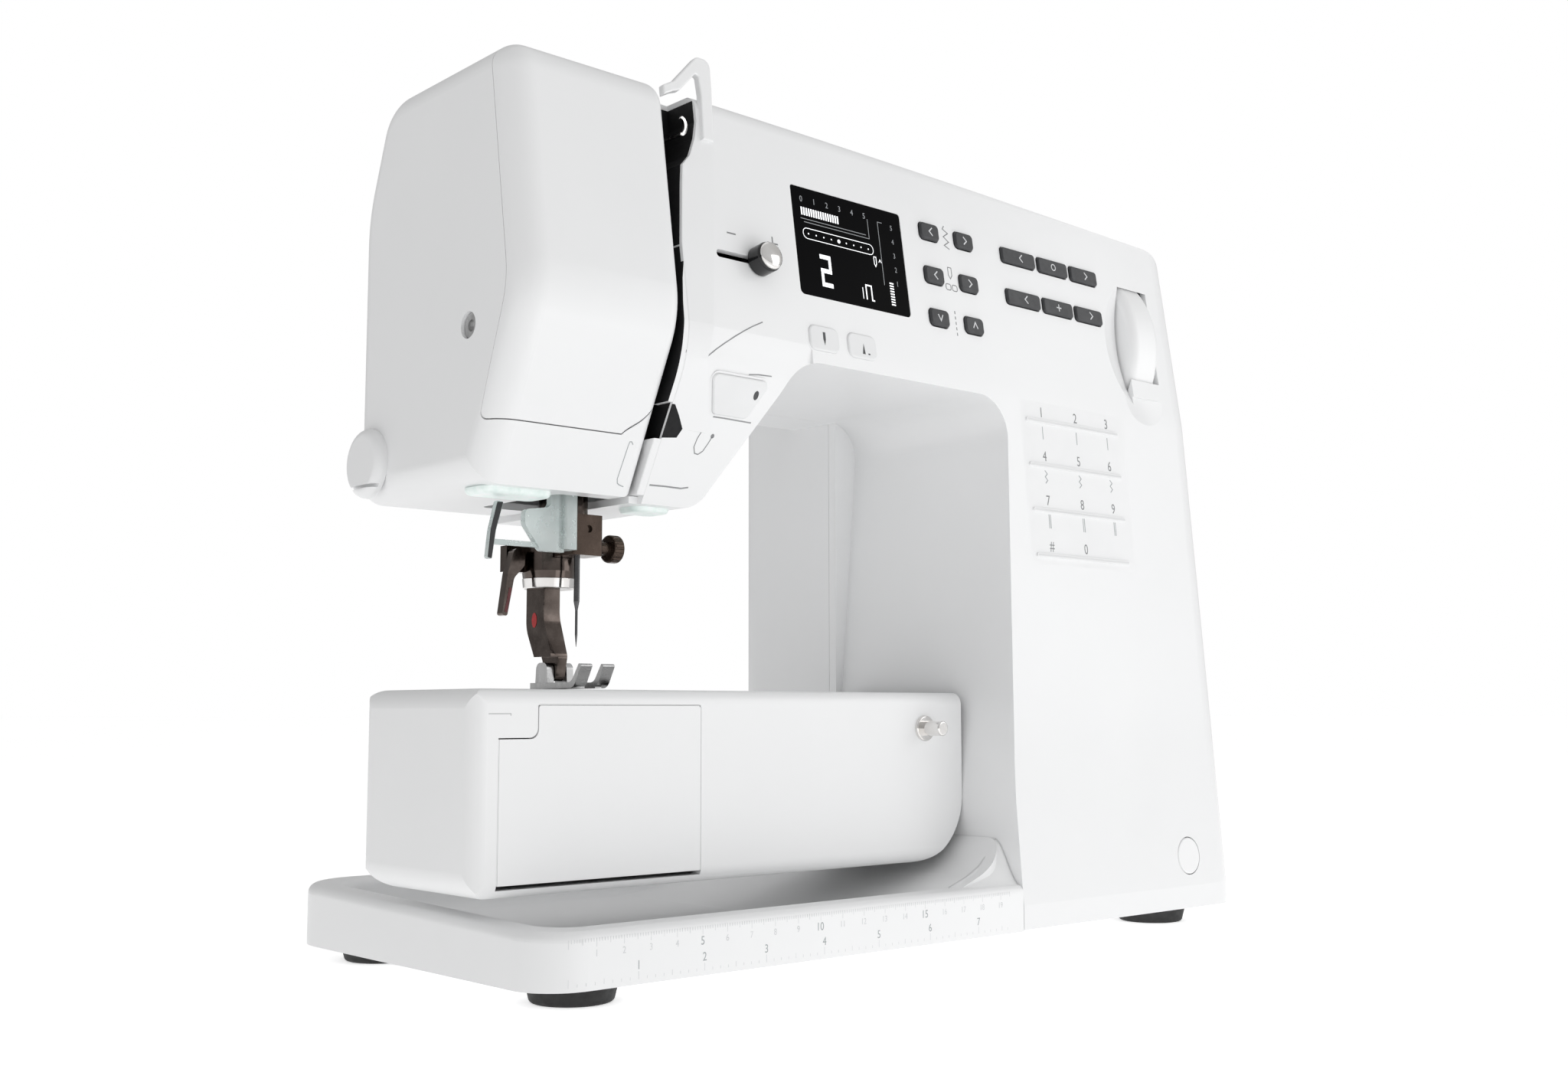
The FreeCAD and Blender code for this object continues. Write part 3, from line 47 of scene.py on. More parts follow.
PS, PC = unit(PANEL_T)
LS, LC = unit(LOW_T)
RS, RC = unit(LOBE_T)


def R(x, y, z):
    return Vector(((x - XC) / 1000.0, (y - YC) / 1000.0, z / 1000.0))


def on_panel(x, z, d=0.0):
    """A point on the leaning control panel; d is the depth behind it."""
    v = (z - LEAN_Z) / PC
    return R(x, LEAN_Y + v * PS + d * PC, LEAN_Z + v * PC - d * PS)


def on_lower(x, z, d=0.0):
    v = (z - 17.0) / LC
    return R(x, v * LS + d * LC, 17.0 + v * LC - d * LS)


def on_lobe(x, z, d=0.0):
    v = (z - LOBE_Z) / RC
    return R(x, LOBE_Y - v * RS + d * RC, LOBE_Z + v * RC + d * RS)


def arm_y(z):
    """Depth of the arm's front between the slot and the arch."""
    flat = LEAN_Y + PANEL_T * (z - LEAN_Z)
    if z < 196.94:
        return LOBE_Y - LOBE_T * (z - LOBE_Z)
    if z > 217.6:
        return flat
    return max(flat, 61.5 - math.sqrt(max(0.0, 2025.0 - (z - 217.95) ** 2)))


def on_front(x, z, d=0.0):
    return R(x, arm_y(z) + d, z)


def on_y(y0):
    def f(x, z, d=0.0):
        return R(x, y0 + d, z)
    return f


# ---------------------------------------------------------------------------
# Materials
# ---------------------------------------------------------------------------
def nodes_of(name):
    m = bpy.data.materials.new(name)
    m.use_nodes = True
    nt = m.node_tree
    b = nt.nodes["Principled BSDF"]
    return m, nt, b


def coords(nt, scale=(1, 1, 1)):
    t = nt.nodes.new("ShaderNodeTexCoord")
    mp = nt.nodes.new("ShaderNodeMapping")
    mp.inputs["Scale"].default_value = scale
    nt.links.new(t.outputs["Object"], mp.inputs["Vector"])
    return mp.outputs["Vector"]


def noise(nt, vec, scale, detail=3.0, rough=0.5):
    n = nt.nodes.new("ShaderNodeTexNoise")
    n.inputs["Scale"].default_value = scale
    n.inputs["Detail"].default_value = detail
    n.inputs["Roughness"].default_value = rough
    nt.links.new(vec, n.inputs["Vector"])
    return n.outputs["Fac"]


def ramp(nt, fac, stops):
    r = nt.nodes.new("ShaderNodeValToRGB")
    e = r.color_ramp.elements
    while len(e) < len(stops):
        e.new(0.5)
    for i, (p, c) in enumerate(stops):
        e[i].position = p
        e[i].color = (c[0], c[1], c[2], 1.0)
    nt.links.new(fac, r.inputs["Fac"])
    return r.outputs["Color"]


def spread(nt, fac, lo, hi, a=0.3, b=0.7):
    m = nt.nodes.new("ShaderNodeMapRange")
    m.inputs["From Min"].default_value = a
    m.inputs["From Max"].default_value = b
    m.inputs["To Min"].default_value = lo
    m.inputs["To Max"].default_value = hi
    nt.links.new(fac, m.inputs["Value"])
    return m.outputs["Result"]


def bump(nt, b, height, strength, dist):
    n = nt.nodes.new("ShaderNodeBump")
    n.inputs["Strength"].default_value = strength
    n.inputs["Distance"].default_value = dist
    nt.links.new(height, n.inputs["Height"])
    nt.links.new(n.outputs["Normal"], b.inputs["Normal"])


def surface(name, c0, c1, r0, r1, mottle=30.0, grain=1800.0, grain_mm=0.004, strength=0.15,
            metallic=0.0, coat=0.0, coat_rough=0.1, spec=0.5, stretch=(1, 1, 1)):
    """Two close tones in soft patches, uneven roughness and a fine moulded grain."""
    m, nt, b = nodes_of(name)
    v = coords(nt, stretch)
    big = noise(nt, v, mottle, 3.0, 0.55)
    nt.links.new(ramp(nt, big, [(0.32, c0), (0.68, c1)]), b.inputs["Base Color"])
    mid = noise(nt, v, mottle * 6.0, 4.0, 0.6)
    nt.links.new(spread(nt, mid, r0, r1), b.inputs["Roughness"])
    fine = noise(nt, v, grain, 2.0, 0.5)
    bump(nt, b, fine, strength, grain_mm / 1000.0)
    b.inputs["Metallic"].default_value = metallic
    b.inputs["Specular IOR Level"].default_value = spec
    b.inputs["Coat Weight"].default_value = coat
    b.inputs["Coat Roughness"].default_value = coat_rough
    return m


def ink(name, c0, c1, rough=0.45):
    return surface(name, c0, c1, rough, rough + 0.12, mottle=220.0, grain=4000.0, grain_mm=0.003)


M = {}
M["shell"] = surface("white_shell", (0.860, 0.865, 0.870), (0.885, 0.889, 0.893), 0.30, 0.33,
                     mottle=9.0, grain=1500.0, grain_mm=0.004, strength=0.08, coat=0.2, coat_rough=0.14)
M["base"] = surface("white_base", (0.880, 0.884, 0.888), (0.905, 0.908, 0.911), 0.38, 0.42,
                    mottle=9.0, grain=1300.0, grain_mm=0.006, strength=0.10, coat=0.08, coat_rough=0.2)
# white plastic, given a paler tone than the shell as painted light that lifts the shade on the wheel inside its window
M["wheel"] = surface("wheel_white_painted_lighter", (0.900, 0.904, 0.908), (0.925, 0.928, 0.931), 0.30, 0.40,
                     mottle=12.0, grain=1500.0)
M["needle_steel"] = surface("needle_steel", (0.085, 0.085, 0.088), (0.140, 0.140, 0.144), 0.16, 0.28,
                            mottle=60.0, grain=2500.0, metallic=1.0)
# painted shade: grey for the lines that stand in for the shadows under the keypad ledges
M["ledge"] = surface("ledge_painted_shade", (0.70, 0.705, 0.71), (0.76, 0.765, 0.77), 0.4, 0.5, mottle=40.0, grain=1500.0)
M["gloss_black"] = surface("gloss_black", (0.006, 0.006, 0.007), (0.014, 0.014, 0.015), 0.06, 0.12,
                           mottle=90.0, grain=2500.0, grain_mm=0.003, strength=0.1)
M["white_key"] = surface("white_keys", (0.80, 0.805, 0.81), (0.83, 0.835, 0.84), 0.30, 0.40,
                         mottle=40.0, grain=2200.0)
M["membrane"] = surface("keypad_film", (0.858, 0.863, 0.868), (0.882, 0.886, 0.890), 0.38, 0.5,
                        mottle=30.0, grain=2600.0, grain_mm=0.008, strength=0.2)
M["dark"] = surface("dark_key_plastic", (0.030, 0.031, 0.034), (0.044, 0.045, 0.048), 0.34, 0.48,
                    mottle=90.0, grain=3500.0, grain_mm=0.006, strength=0.25)
M["lcd"] = surface("display_glass", (0.0010, 0.0010, 0.0013), (0.0020, 0.0020, 0.0024), 0.30, 0.36,
                   mottle=18.0, grain=600.0, grain_mm=0.002, strength=0.05, spec=0.03)
# painted reflection: the dark brownish base colour stands in for dark surroundings reflected by the chrome bars, foot
# and lever
M["chrome"] = surface("chrome_painted_dark_reflection", (0.085, 0.068, 0.060), (0.150, 0.125, 0.112), 0.10, 0.20,
                      mottle=120.0, grain=2600.0, grain_mm=0.004, strength=0.15, metallic=1.0)
M["bright"] = surface("bright_chrome", (0.74, 0.72, 0.70), (0.84, 0.83, 0.82), 0.08, 0.18,
                      mottle=120.0, grain=2600.0, grain_mm=0.003, strength=0.12, metallic=1.0)
# painted reflection: the dark brown base colour of the needle clamp and its screw stands in for dark surroundings
# reflected in their metal
M["brown"] = surface("metal_painted_brown_reflection", (0.045, 0.030, 0.022), (0.075, 0.052, 0.040), 0.18, 0.30,
                     mottle=120.0, grain=2600.0, grain_mm=0.004, strength=0.15, metallic=0.7)
M["steel"] = surface("ground_steel", (0.50, 0.50, 0.50), (0.62, 0.62, 0.62), 0.24, 0.38,
                     mottle=60.0, grain=900.0, grain_mm=0.006, strength=0.25, metallic=1.0, stretch=(1, 8, 1))
M["cast"] = surface("cast_frame_paint", (0.010, 0.010, 0.011), (0.020, 0.020, 0.021), 0.5, 0.7,
                    mottle=60.0, grain=700.0, grain_mm=0.05, strength=0.4)
M["belt"] = surface("belt_rubber", (0.012, 0.012, 0.012), (0.022, 0.022, 0.022), 0.6, 0.8,
                    mottle=90.0, grain=1200.0, grain_mm=0.03, strength=0.4)
M["feet"] = surface("foot_rubber", (0.010, 0.010, 0.010), (0.020, 0.020, 0.020), 0.55, 0.75,
                    mottle=60.0, grain=1400.0, grain_mm=0.03, strength=0.4)
M["motor"] = surface("motor_can", (0.16, 0.16, 0.165), (0.22, 0.22, 0.225), 0.4, 0.55, mottle=40.0, grain=900.0)
M["black"] = surface("black_plastic", (0.008, 0.008, 0.009), (0.016, 0.016, 0.017), 0.4, 0.55,
                     mottle=60.0, grain=1800.0, grain_mm=0.01, strength=0.25)
M["liner"] = surface("slot_black", (0.004, 0.004, 0.0045), (0.008, 0.008, 0.009), 0.5, 0.65,
                     mottle=60.0, grain=1800.0, grain_mm=0.01, strength=0.2, spec=0.25)
M["red"] = surface("red_paint", (0.42, 0.010, 0.012), (0.52, 0.016, 0.018), 0.3, 0.42, mottle=200.0, grain=3000.0)
M["dark_red"] = surface("dark_red_plastic", (0.10, 0.012, 0.016), (0.15, 0.018, 0.022), 0.35, 0.5,
                        mottle=200.0, grain=3000.0)
M["ink_dark"] = ink("ink_dark", (0.045, 0.047, 0.05), (0.07, 0.072, 0.075))
M["ink_grey"] = ink("ink_grey", (0.22, 0.225, 0.23), (0.27, 0.275, 0.28))
M["ink_pale"] = ink("ink_pale", (0.36, 0.38, 0.39), (0.42, 0.44, 0.45))
M["ink_light"] = ink("ink_light", (0.62, 0.63, 0.64), (0.72, 0.73, 0.74))
M["groove"] = ink("groove_shade", (0.26, 0.265, 0.27), (0.34, 0.345, 0.35), 0.6)
# pale grey: a real seam line on the free arm's tab, and painted shade along the arm's crease
M["soft_seam_and_crease_shade"] = ink("soft_seam_and_crease_shade", (0.50, 0.505, 0.51), (0.58, 0.585, 0.59), 0.6)


def glow(name, c0, c1, strength, mottle):
    m = surface(name, c0, c1, 0.3, 0.4, mottle=mottle, grain=2500.0)
    nt = m.node_tree
    b = nt.nodes["Principled BSDF"]
    src = b.inputs["Base Color"].links[0].from_socket
    nt.links.new(src, b.inputs["Emission Color"])
    b.inputs["Emission Strength"].default_value = strength
    return m


M["lcd_lit"] = glow("display_segments", (0.86, 0.88, 0.90), (0.95, 0.96, 0.97), 0.75, 300.0)
M["lcd_dim"] = glow("display_faint", (0.20, 0.21, 0.22), (0.26, 0.27, 0.28), 0.35, 300.0)
M["lens"] = glow("lamp_lens_lit", (0.66, 0.76, 0.73), (0.84, 0.90, 0.88), 0.16, 220.0)

# clear moulded plastic of the threader
mt, nt, b = nodes_of("threader_clear")
v = coords(nt)
nt.links.new(ramp(nt, noise(nt, v, 90.0), [(0.3, (0.74, 0.82, 0.81)), (0.7, (0.84, 0.90, 0.89))]),
             b.inputs["Base Color"])
nt.links.new(spread(nt, noise(nt, v, 400.0), 0.16, 0.3), b.inputs["Roughness"])
bump(nt, b, noise(nt, v, 1500.0), 0.1, 0.000006)
b.inputs["Transmission Weight"].default_value = 0.45
b.inputs["IOR"].default_value = 1.49
M["clear"] = mt

LOOK = {
    "shell": ["front_shell", "rear_shell", "head_cover", "face_cover", "thread_cutter", "take_up_guard"],
    "base": ["base_tray", "free_arm_shell", "hook_door", "carry_handle", "lifter_lever", "feed_drop_button"],
    "wheel": ["hand_wheel"],
    "white_key": ["needle_stop_button", "securing_button", "reverse_button"],
    "membrane": ["keypad_membrane"],
    "dark": ["width_down_button", "width_up_button", "length_down_button", "length_up_button",
             "needle_left_button", "needle_right_button", "memory_back_button", "memory_store_button",
             "memory_next_button", "alphabet_back_button", "alphabet_button", "alphabet_next_button"],
    "lcd": ["display_window"],
    "chrome": ["needle_bar", "presser_bar", "presser_foot", "foot_clamp_lever"],
    "gloss_black": ["speed_slider"],
    "brown": ["needle_clamp", "clamp_screw"],
    "bright": ["take_up_lever", "table_stud"],
    "needle_steel": ["needle"],
    "steel": ["foot_sole", "needle_plate", "feed_dog", "main_shaft", "lower_shaft", "rotary_hook", "bobbin_case",
              "casing_screws"],
    "cast": ["cast_frame"],
    "belt": ["timing_belt", "drive_belt"],
    "feet": ["rubber_feet"],
    "motor": ["motor", "motor_pulley"],
    "lens": ["lamp_lens"],
    "clear": ["needle_threader", "bobbin"],
    "black": ["power_inlet", "power_switch", "spool_pin"],
}
for look, names in LOOK.items():
    for n in names:
        N[n].data.materials.clear()
        N[n].data.materials.append(M[look])


# ---------------------------------------------------------------------------
# Flat graphics: filled shapes in (u, v) millimetres, laid on a face as thin
# solid ink
# ---------------------------------------------------------------------------
def dense(pts, step=0.8):
    """The same polyline with points no further apart than 'step'."""
    out = [pts[0]]
    for a_, b_ in zip(pts, pts[1:]):
        n_ = max(1, int(math.hypot(b_[0] - a_[0], b_[1] - a_[1]) / step))
        out += [(a_[0] + (b_[0] - a_[0]) * k / n_, a_[1] + (b_[1] - a_[1]) * k / n_) for k in range(1, n_ + 1)]
    return out


def round_poly(pts, n=5):
    """Corners (u, v, radius) turned into a rounded outline."""
    out = []
    m_ = len(pts)
    for i in range(m_):
        b_ = Vector(pts[i][:2])
        u_ = (Vector(pts[i - 1][:2]) - b_).normalized()
        w_ = (Vector(pts[(i + 1) % m_][:2]) - b_).normalized()
        ang = u_.angle(w_)
        t_ = pts[i][2] / math.tan(ang / 2)
        c_ = b_ + (u_ + w_).normalized() * pts[i][2] / math.sin(ang / 2)
        p0, p1 = b_ + u_ * t_ - c_, b_ + w_ * t_ - c_
        a0, a1 = math.atan2(p0.y, p0.x), math.atan2(p1.y, p1.x)
        d_ = (a1 - a0 + math.pi) % (2 * math.pi) - math.pi
        for k in range(n):
            q_ = a0 + d_ * k / (n - 1)
            out.append((c_.x + pts[i][2] * math.cos(q_), c_.y + pts[i][2] * math.sin(q_)))
    return out


class Art:
    def __init__(self):
        self.v, self.f = [], []

    def poly(self, pts):
        i = len(self.v)
        self.v += [tuple(p) for p in pts]
        self.f.append(tuple(range(i, i + len(pts))))
        return self

    def rect(self, u0, v0, u1, v1):
        return self.poly([(u0, v0), (u1, v0), (u1, v1), (u0, v1)])

    def disc(self, u, v, r, n=20):
        return self.poly([(u + r * math.cos(2 * math.pi * k / n), v + r * math.sin(2 * math.pi * k / n))
                          for k in range(n)])

    def line(self, pts, w, closed=False):
        """A stroke of even width with mitred joints."""
        n = len(pts)
        L, Q = [], []
        for k in range(n):
            p = Vector(pts[k])
            a = Vector(pts[k - 1]) if (k > 0 or closed) else None
            c = Vector(pts[(k + 1) % n]) if (k < n - 1 or closed) else None
            d1 = (p - a).normalized() if a is not None else (c - p).normalized()
            d2 = (c - p).normalized() if c is not None else d1
            n1, n2 = Vector((-d1.y, d1.x)), Vector((-d2.y, d2.x))
            m = (n1 + n2)
            m = m.normalized() if m.length > 1e-6 else n1
            s = w / 2 / max(0.35, m.dot(n1))
            L.append(p + m * s)
            Q.append(p - m * s)
        for k in range(n if closed else n - 1):
            j = (k + 1) % n
            self.poly([L[k], Q[k], Q[j], L[j]])
        return self

    def ring(self, u, v, r, w, n=24):
        return self.line([(u + r * math.cos(2 * math.pi * k / n), v + r * math.sin(2 * math.pi * k / n))
                          for k in range(n)], w, True)

    def rrect(self, u0, v0, u1, v1, r, w):
        p = []
        for (cu, cv, a0) in ((u1 - r, v1 - r, 0), (u0 + r, v1 - r, 90), (u0 + r, v0 + r, 180), (u1 - r, v0 + r, 270)):
            for k in range(5):
                a = math.radians(a0 + 90 * k / 4)
                p.append((cu + r * math.cos(a), cv + r * math.sin(a)))
        return self.line(p, w, True)

    def text(self, s, u, v, size, squeeze=1.0, weight=0.0, slant=0.0):
        """Digits and signs centred on (u, v); size is their height."""
        cu = bpy.data.curves.new("t", "FONT")
        cu.body = s
        cu.align_x, cu.align_y = "LEFT", "BOTTOM_BASELINE"
        cu.size = 1.0
        cu.offset = weight
        cu.resolution_u = 4
        o = bpy.data.objects.new("t", cu)
        bpy.context.scene.collection.objects.link(o)
        me = bpy.data.meshes.new_from_object(o)
        bpy.data.objects.remove(o)
        bpy.data.curves.remove(cu)
        co = [q.co.copy() for q in me.vertices]
        lo = Vector((min(c.x for c in co), min(c.y for c in co)))
        hi = Vector((max(c.x for c in co), max(c.y for c in co)))
        k = size / 0.69
        i = len(self.v)
        for c in co:
            y = (c.y - 0.345) * k
            self.v.append((u + (c.x - (lo.x + hi.x) / 2) * k * squeeze + y * slant, v + y))
        for p in me.polygons:
            self.f.append(tuple(i + q for q in p.vertices))
        bpy.data.meshes.remove(me)
        return self

    def lay(self, name, place, body, mat, out=0.05, thick=0.07):
        """Laid on the face 'place', standing 'out' proud of it."""
        me = bpy.data.meshes.new(name)
        me.from_pydata([place(p[0], p[1], -out) for p in self.v], [], self.f)
        bm = bmesh.new()
        bm.from_mesh(me)
        bmesh.ops.remove_doubles(bm, verts=bm.verts, dist=1e-7)
        bmesh.ops.recalc_face_normals(bm, faces=bm.faces)
        back = (place(0, 200, 1.0) - place(0, 200, 0.0)).normalized()
        for f in bm.faces:
            if f.normal.dot(back) > 0:
                f.normal_flip()
        g = bmesh.ops.extrude_face_region(bm, geom=bm.faces[:])
        deep = [e for e in g["geom"] if isinstance(e, bmesh.types.BMVert)]
        for q in deep:
            q.co += back * thick / 1000.0
        bmesh.ops.recalc_face_normals(bm, faces=bm.faces)
        bm.to_mesh(me)
        bm.free()
        me.materials.append(mat)
        o = bpy.data.objects.new(name, me)
        bpy.context.scene.collection.objects.link(o)
        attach(o, body)
        return o


def solid(name, bm, mat, body, smooth=True, bevel=0.0, segs=2):
    bmesh.ops.recalc_face_normals(bm, faces=bm.faces)
    me = bpy.data.meshes.new(name)
    bm.to_mesh(me)
    bm.free()
    me.materials.append(mat)
    o = bpy.data.objects.new(name, me)
    bpy.context.scene.collection.objects.link(o)
    if smooth:
        for p in me.polygons:
            p.use_smooth = True
    if bevel:
        m = o.modifiers.new("edge", "BEVEL")
        m.width = bevel / 1000.0
        m.segments = segs
        m.limit_method = "ANGLE"
        m.angle_limit = math.radians(40)
        m.harden_normals = False
    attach(o, body)
    return o


def prism(pts, place, d0, d1):
    """Solid whose outline (u, v) lies on 'place' between depths d0 and d1."""
    bm = bmesh.new()
    a = [bm.verts.new(place(p[0], p[1], d0)) for p in pts]
    c = [bm.verts.new(place(p[0], p[1], d1)) for p in pts]
    bm.faces.new(a)
    bm.faces.new(c[::-1])
    n = len(pts)
    for k in range(n):
        j = (k + 1) % n
        bm.faces.new((a[k], a[j], c[j], c[k]))
    return bm


# ---------------------------------------------------------------------------
# Thread slot lining
# ---------------------------------------------------------------------------
def front_y(z):
    if z >= LEAN_Z:
        return LEAN_Y + PANEL_T * (z - LEAN_Z)
    return LEAN_Y + LOBE_T * max(0.0, (207.7 - z)) if z < 207.7 else LEAN_Y


side = lambda y, z, d=0.0: R(56.42 - d, y, z)
edge = [(front_y(z) + 1.4, z) for z in (161.5, 175, 190, 200, 207, 213, 225, 243.5)]
solid("slot_liner_right", prism(edge + [(43.6, 243.5), (43.6, 161.5)], side, 0.0, 0.1), M["liner"], "machine", smooth=False)
wall = [(56.4, 244.2), (58.9, 266.0), (60.0, 273.5), (63.5, 277.5), (66.45, 284.6), (68.0, 291.0), (68.0, 299.0)]
inner = [(u - 0.22, v) for u, v in wall]
deep = lambda x, z, d=0.0: R(x, (front_y(z) + 1.3) * (1 - d) + 43.9 * d, z)
solid("slot_liner_top", prism(wall + inner[::-1], deep, 0.0, 1.0), M["liner"], "machine", smooth=False)
back = [(56.7, 240.0), (56.7, 299.0), (69.0, 299.0), (69.0, 262.0), (60.0, 240.0)]
solid("slot_liner_back", prism(back, on_y(43.3), 0.0, 0.5), M["liner"], "machine", smooth=False)
# pale lips that narrow the slot below the take-up lever's reach
up_ = dense([(54.2, 191.0), (54.2, 214.0), (54.5, 224.0), (55.2, 232.0), (56.3, 238.0)], 1.5)
lo_ = dense([(53.5, 161.2), (53.5, 179.3)], 1.5)


def lip(name, left, right, deep, dark):
    bm = bmesh.new()
    q = [[bm.verts.new(on_front(x, z, d)) for (x, z, d) in
          ((l[0] + 0.25, l[1], 0.02), (right, l[1], 0.02), (right, l[1], deep), (l[0], l[1], deep), (l[0], l[1], 0.3))] for l in left]
    for a_, b_ in zip(q, q[1:]):
        for k in range(5):
            j_ = (k + 1) % 5
            bm.faces.new((a_[k], a_[j_], b_[j_], b_[k]))
    bm.faces.new(q[0][::-1])
    bm.faces.new(q[-1])
    o_ = solid(name, bm, M["shell"], "machine", smooth=False)
    o_.data.materials.append(M["liner"])
    for p_ in o_.data.polygons:
        if dark and abs(p_.normal.x) > 0.5:
            p_.material_index = 1


lip("slot_lip_upper", up_, 56.45, 8.0, True)
lip("slot_lip_lower", lo_, 56.45, 8.0, False)
# turned strip between the slot and the crease, tilted towards the slot
bm = bmesh.new()
q = []
for k in range(100):
    z = 183.0 + 113.0 * k / 99.0
    if z < 206.0:
        xr = 73.4 - (z - 183.1) * 8.1 / 22.9
    else:
        xr = 65.3 + (z - 206.0) * 0.113
    xl = 57.0 + max(0.0, 191.5 - z) * 0.8 if z < 192 else 56.75
    for a_, b_ in zip(wall, wall[1:]):
        if a_[1] <= z < b_[1]:
            xl = 0.35 + a_[0] + (b_[0] - a_[0]) * (z - a_[1]) / (b_[1] - a_[1])
    q.append([bm.verts.new(on_front(x, z, d)) for x, d in ((xl, -0.05), (xr, -0.75), (xr + 0.25, 0.05), (xl, 0.05))])
for a_, b_ in zip(q, q[1:]):
    for k in range(4):
        j_ = (k + 1) % 4
        bm.faces.new((a_[k], a_[j_], b_[j_], b_[k]))
bm.faces.new(q[0][::-1])
bm.faces.new(q[-1])
solid("slot_strip", bm, M["shell"], "machine", smooth=False)
# plate in the arm's left end, behind the rounded back of the head
solid("arm_end_plate", prism([(111.0, 254.0), (121.4, 254.0), (121.4, 281.9), (111.0, 281.9)],
                             lambda y, z, d=0.0: R(53.6 + d, y, z), 0.0, 0.8), M["shell"], "machine", smooth=False)
# small bright thread hook in the slot's top pocket
arc_ = [math.radians(-95 + 10 * k) for k in range(20)]
ring_ = [(63.80 + 2.3 * math.cos(t), 289.20 + 3.4 * math.sin(t)) for t in arc_] + [(63.80 - 0.5 + 1.6 * math.cos(t), 289.20 + 2.6 * math.sin(t)) for t in arc_[::-1]]
solid("slot_thread_hook", prism(ring_, on_y(30.0), 0.0, 1.0), M["bright"], "machine", smooth=False)
solid("slot_hook_stem", prism([(63.80 - 0.6, 289.20 - 3.3), (63.80 + 0.6, 289.20 - 3.3), (63.80 + 0.6, 289.20 - 2.5), (63.80 - 0.6, 289.20 - 2.5)],
                              on_y(30.0), 0.2, 13.4), M["bright"], "machine", smooth=False)
# thin thread-path sign low on the front of the head
Art().line(dense([(46.5, 176.5), (45.6, 177.4), (44.9, 177.3), (44.7, 176.0), (44.1, 165.4), (44.6, 164.1), (45.6, 163.6), (47.4, 163.2)], 0.7), 0.3) \
    .lay("head_thread_sign", lambda x, z, d=0.0: R(x, 13.6 + 27.9 / 57.5 * (217.5 - z) + d, z), "machine", M["ink_pale"], out=0.07, thick=0.2)
# painted shade: a flat black patch on the front stands in for the dark pocket at the lower end of the slot
Art().poly([(56.4, 179.7), (62.4, 180.3), (63.9, 183.6), (60.4, 187.4), (57.6, 190.4), (56.4, 190.4)]) \
    .lay("slot_pocket_painted_shade", on_front, "machine", M["liner"], out=0.06, thick=0.2)
# hooked end of the take-up lever
bm = bmesh.new()
hook = []
for k in range(11):
    t = math.radians(-60 + 17.0 * k)
    hook.append((34.2 + 4.2 * math.cos(t), 285.2 + 4.6 * math.sin(t)))
outer = [(34.2 + (p[0] - 34.2) * 1.22, 285.2 + (p[1] - 285.2) * 1.22) for p in hook]
solid("take_up_hook", prism(hook + outer[::-1], lambda y, z, d=0.0: R(55.75 + d, y, z), 0.0, 0.3), M["bright"], "take_up",
      smooth=False, bevel=0.12)
bm.free()

# ---------------------------------------------------------------------------
# Lines and signs on the arm's front
# ---------------------------------------------------------------------------
a = Art()
a.line(dense([(63.6, 204.6), (66.0, 207.0), (69.0, 209.6), (72.4, 212.1), (76.5, 214.9), (80.5, 217.4), (84.5, 219.6), (89.5, 222.0)]), 0.42)
a.line(dense([(65.4, 205.3), (66.6, 202.0), (69.3, 193.7), (71.2, 188.6), (73.4, 183.1)]), 0.38)
a.line([(74.9, 188.4), (80.0, 188.4), (86.0, 188.3), (92.0, 188.2)], 0.45)
a.line(dense([(84.8, 203.2), (89.0, 203.7), (95.0, 203.9)]), 0.4)
a.line([(57.5, 164.6), (64.0, 164.7), (71.0, 164.6), (74.0, 165.2)], 0.5)
a.lay("arm_lines", on_front, "machine", M["groove"], out=0.05, thick=0.3)
# painted shade: a soft grey line along the crease between the turned strip and the arm's front
a = Art()
a.line(dense([(71.7, 263.0), (69.3, 244.0), (66.9, 224.5), (65.7, 214.0), (65.2, 206.5)]), 0.3)
a.lay("arm_crease", on_front, "machine", M["soft_seam_and_crease_shade"], out=0.05, thick=0.3)
a = Art()
a.line([(72.6, 184.6), (71.2, 181.0), (70.9, 178.2), (72.0, 176.2), (73.6, 176.0), (75.2, 177.2), (76.4, 179.8), (77.2, 182.0)], 0.35)
a.disc(77.3, 182.3, 0.75, 14)
a.lay("thread_sign", on_front, "machine", M["ink_grey"], out=0.05, thick=0.3)
rev_face = lambda x, z, d=0.0: on_lobe(x, z, d - 0.9)
Art().poly([(89.6 + 1.05 * math.cos(t * math.pi / 10), 197.2 + 1.5 * math.sin(t * math.pi / 10)) for t in range(20)]) \
    .lay("reverse_dot", rev_face, "reverse", M["ink_dark"], out=0.05, thick=0.3)


# ---------------------------------------------------------------------------
# Pale gaskets set in the gaps round the white buttons and the hook door
# ---------------------------------------------------------------------------
def round_rect(x0, x1, z0, z1, r, n=5):
    p = []
    for (cu, cv, a0) in ((x1 - r, z1 - r, 0), (x0 + r, z1 - r, 90), (x0 + r, z0 + r, 180), (x1 - r, z0 + r, 270)):
        for k in range(n):
            t = math.radians(a0 + 90 * k / (n - 1))
            p.append((cu + r * math.cos(t), cv + r * math.sin(t)))
    return p


def gasket(name, inner, outer, place, d0, d1, body, mat):
    bm = bmesh.new()
    n = len(inner)
    q = [[bm.verts.new(place(p[0], p[1], d)) for p in ring] for ring, d in
         ((inner, d0), (outer, d0), (outer, d1), (inner, d1))]
    for k in range(n):
        j = (k + 1) % n
        for r_ in range(4):
            bm.faces.new((q[r_][k], q[r_][j], q[(r_ + 1) % 4][j], q[(r_ + 1) % 4][k]))
    return solid(name, bm, mat, body, smooth=False)


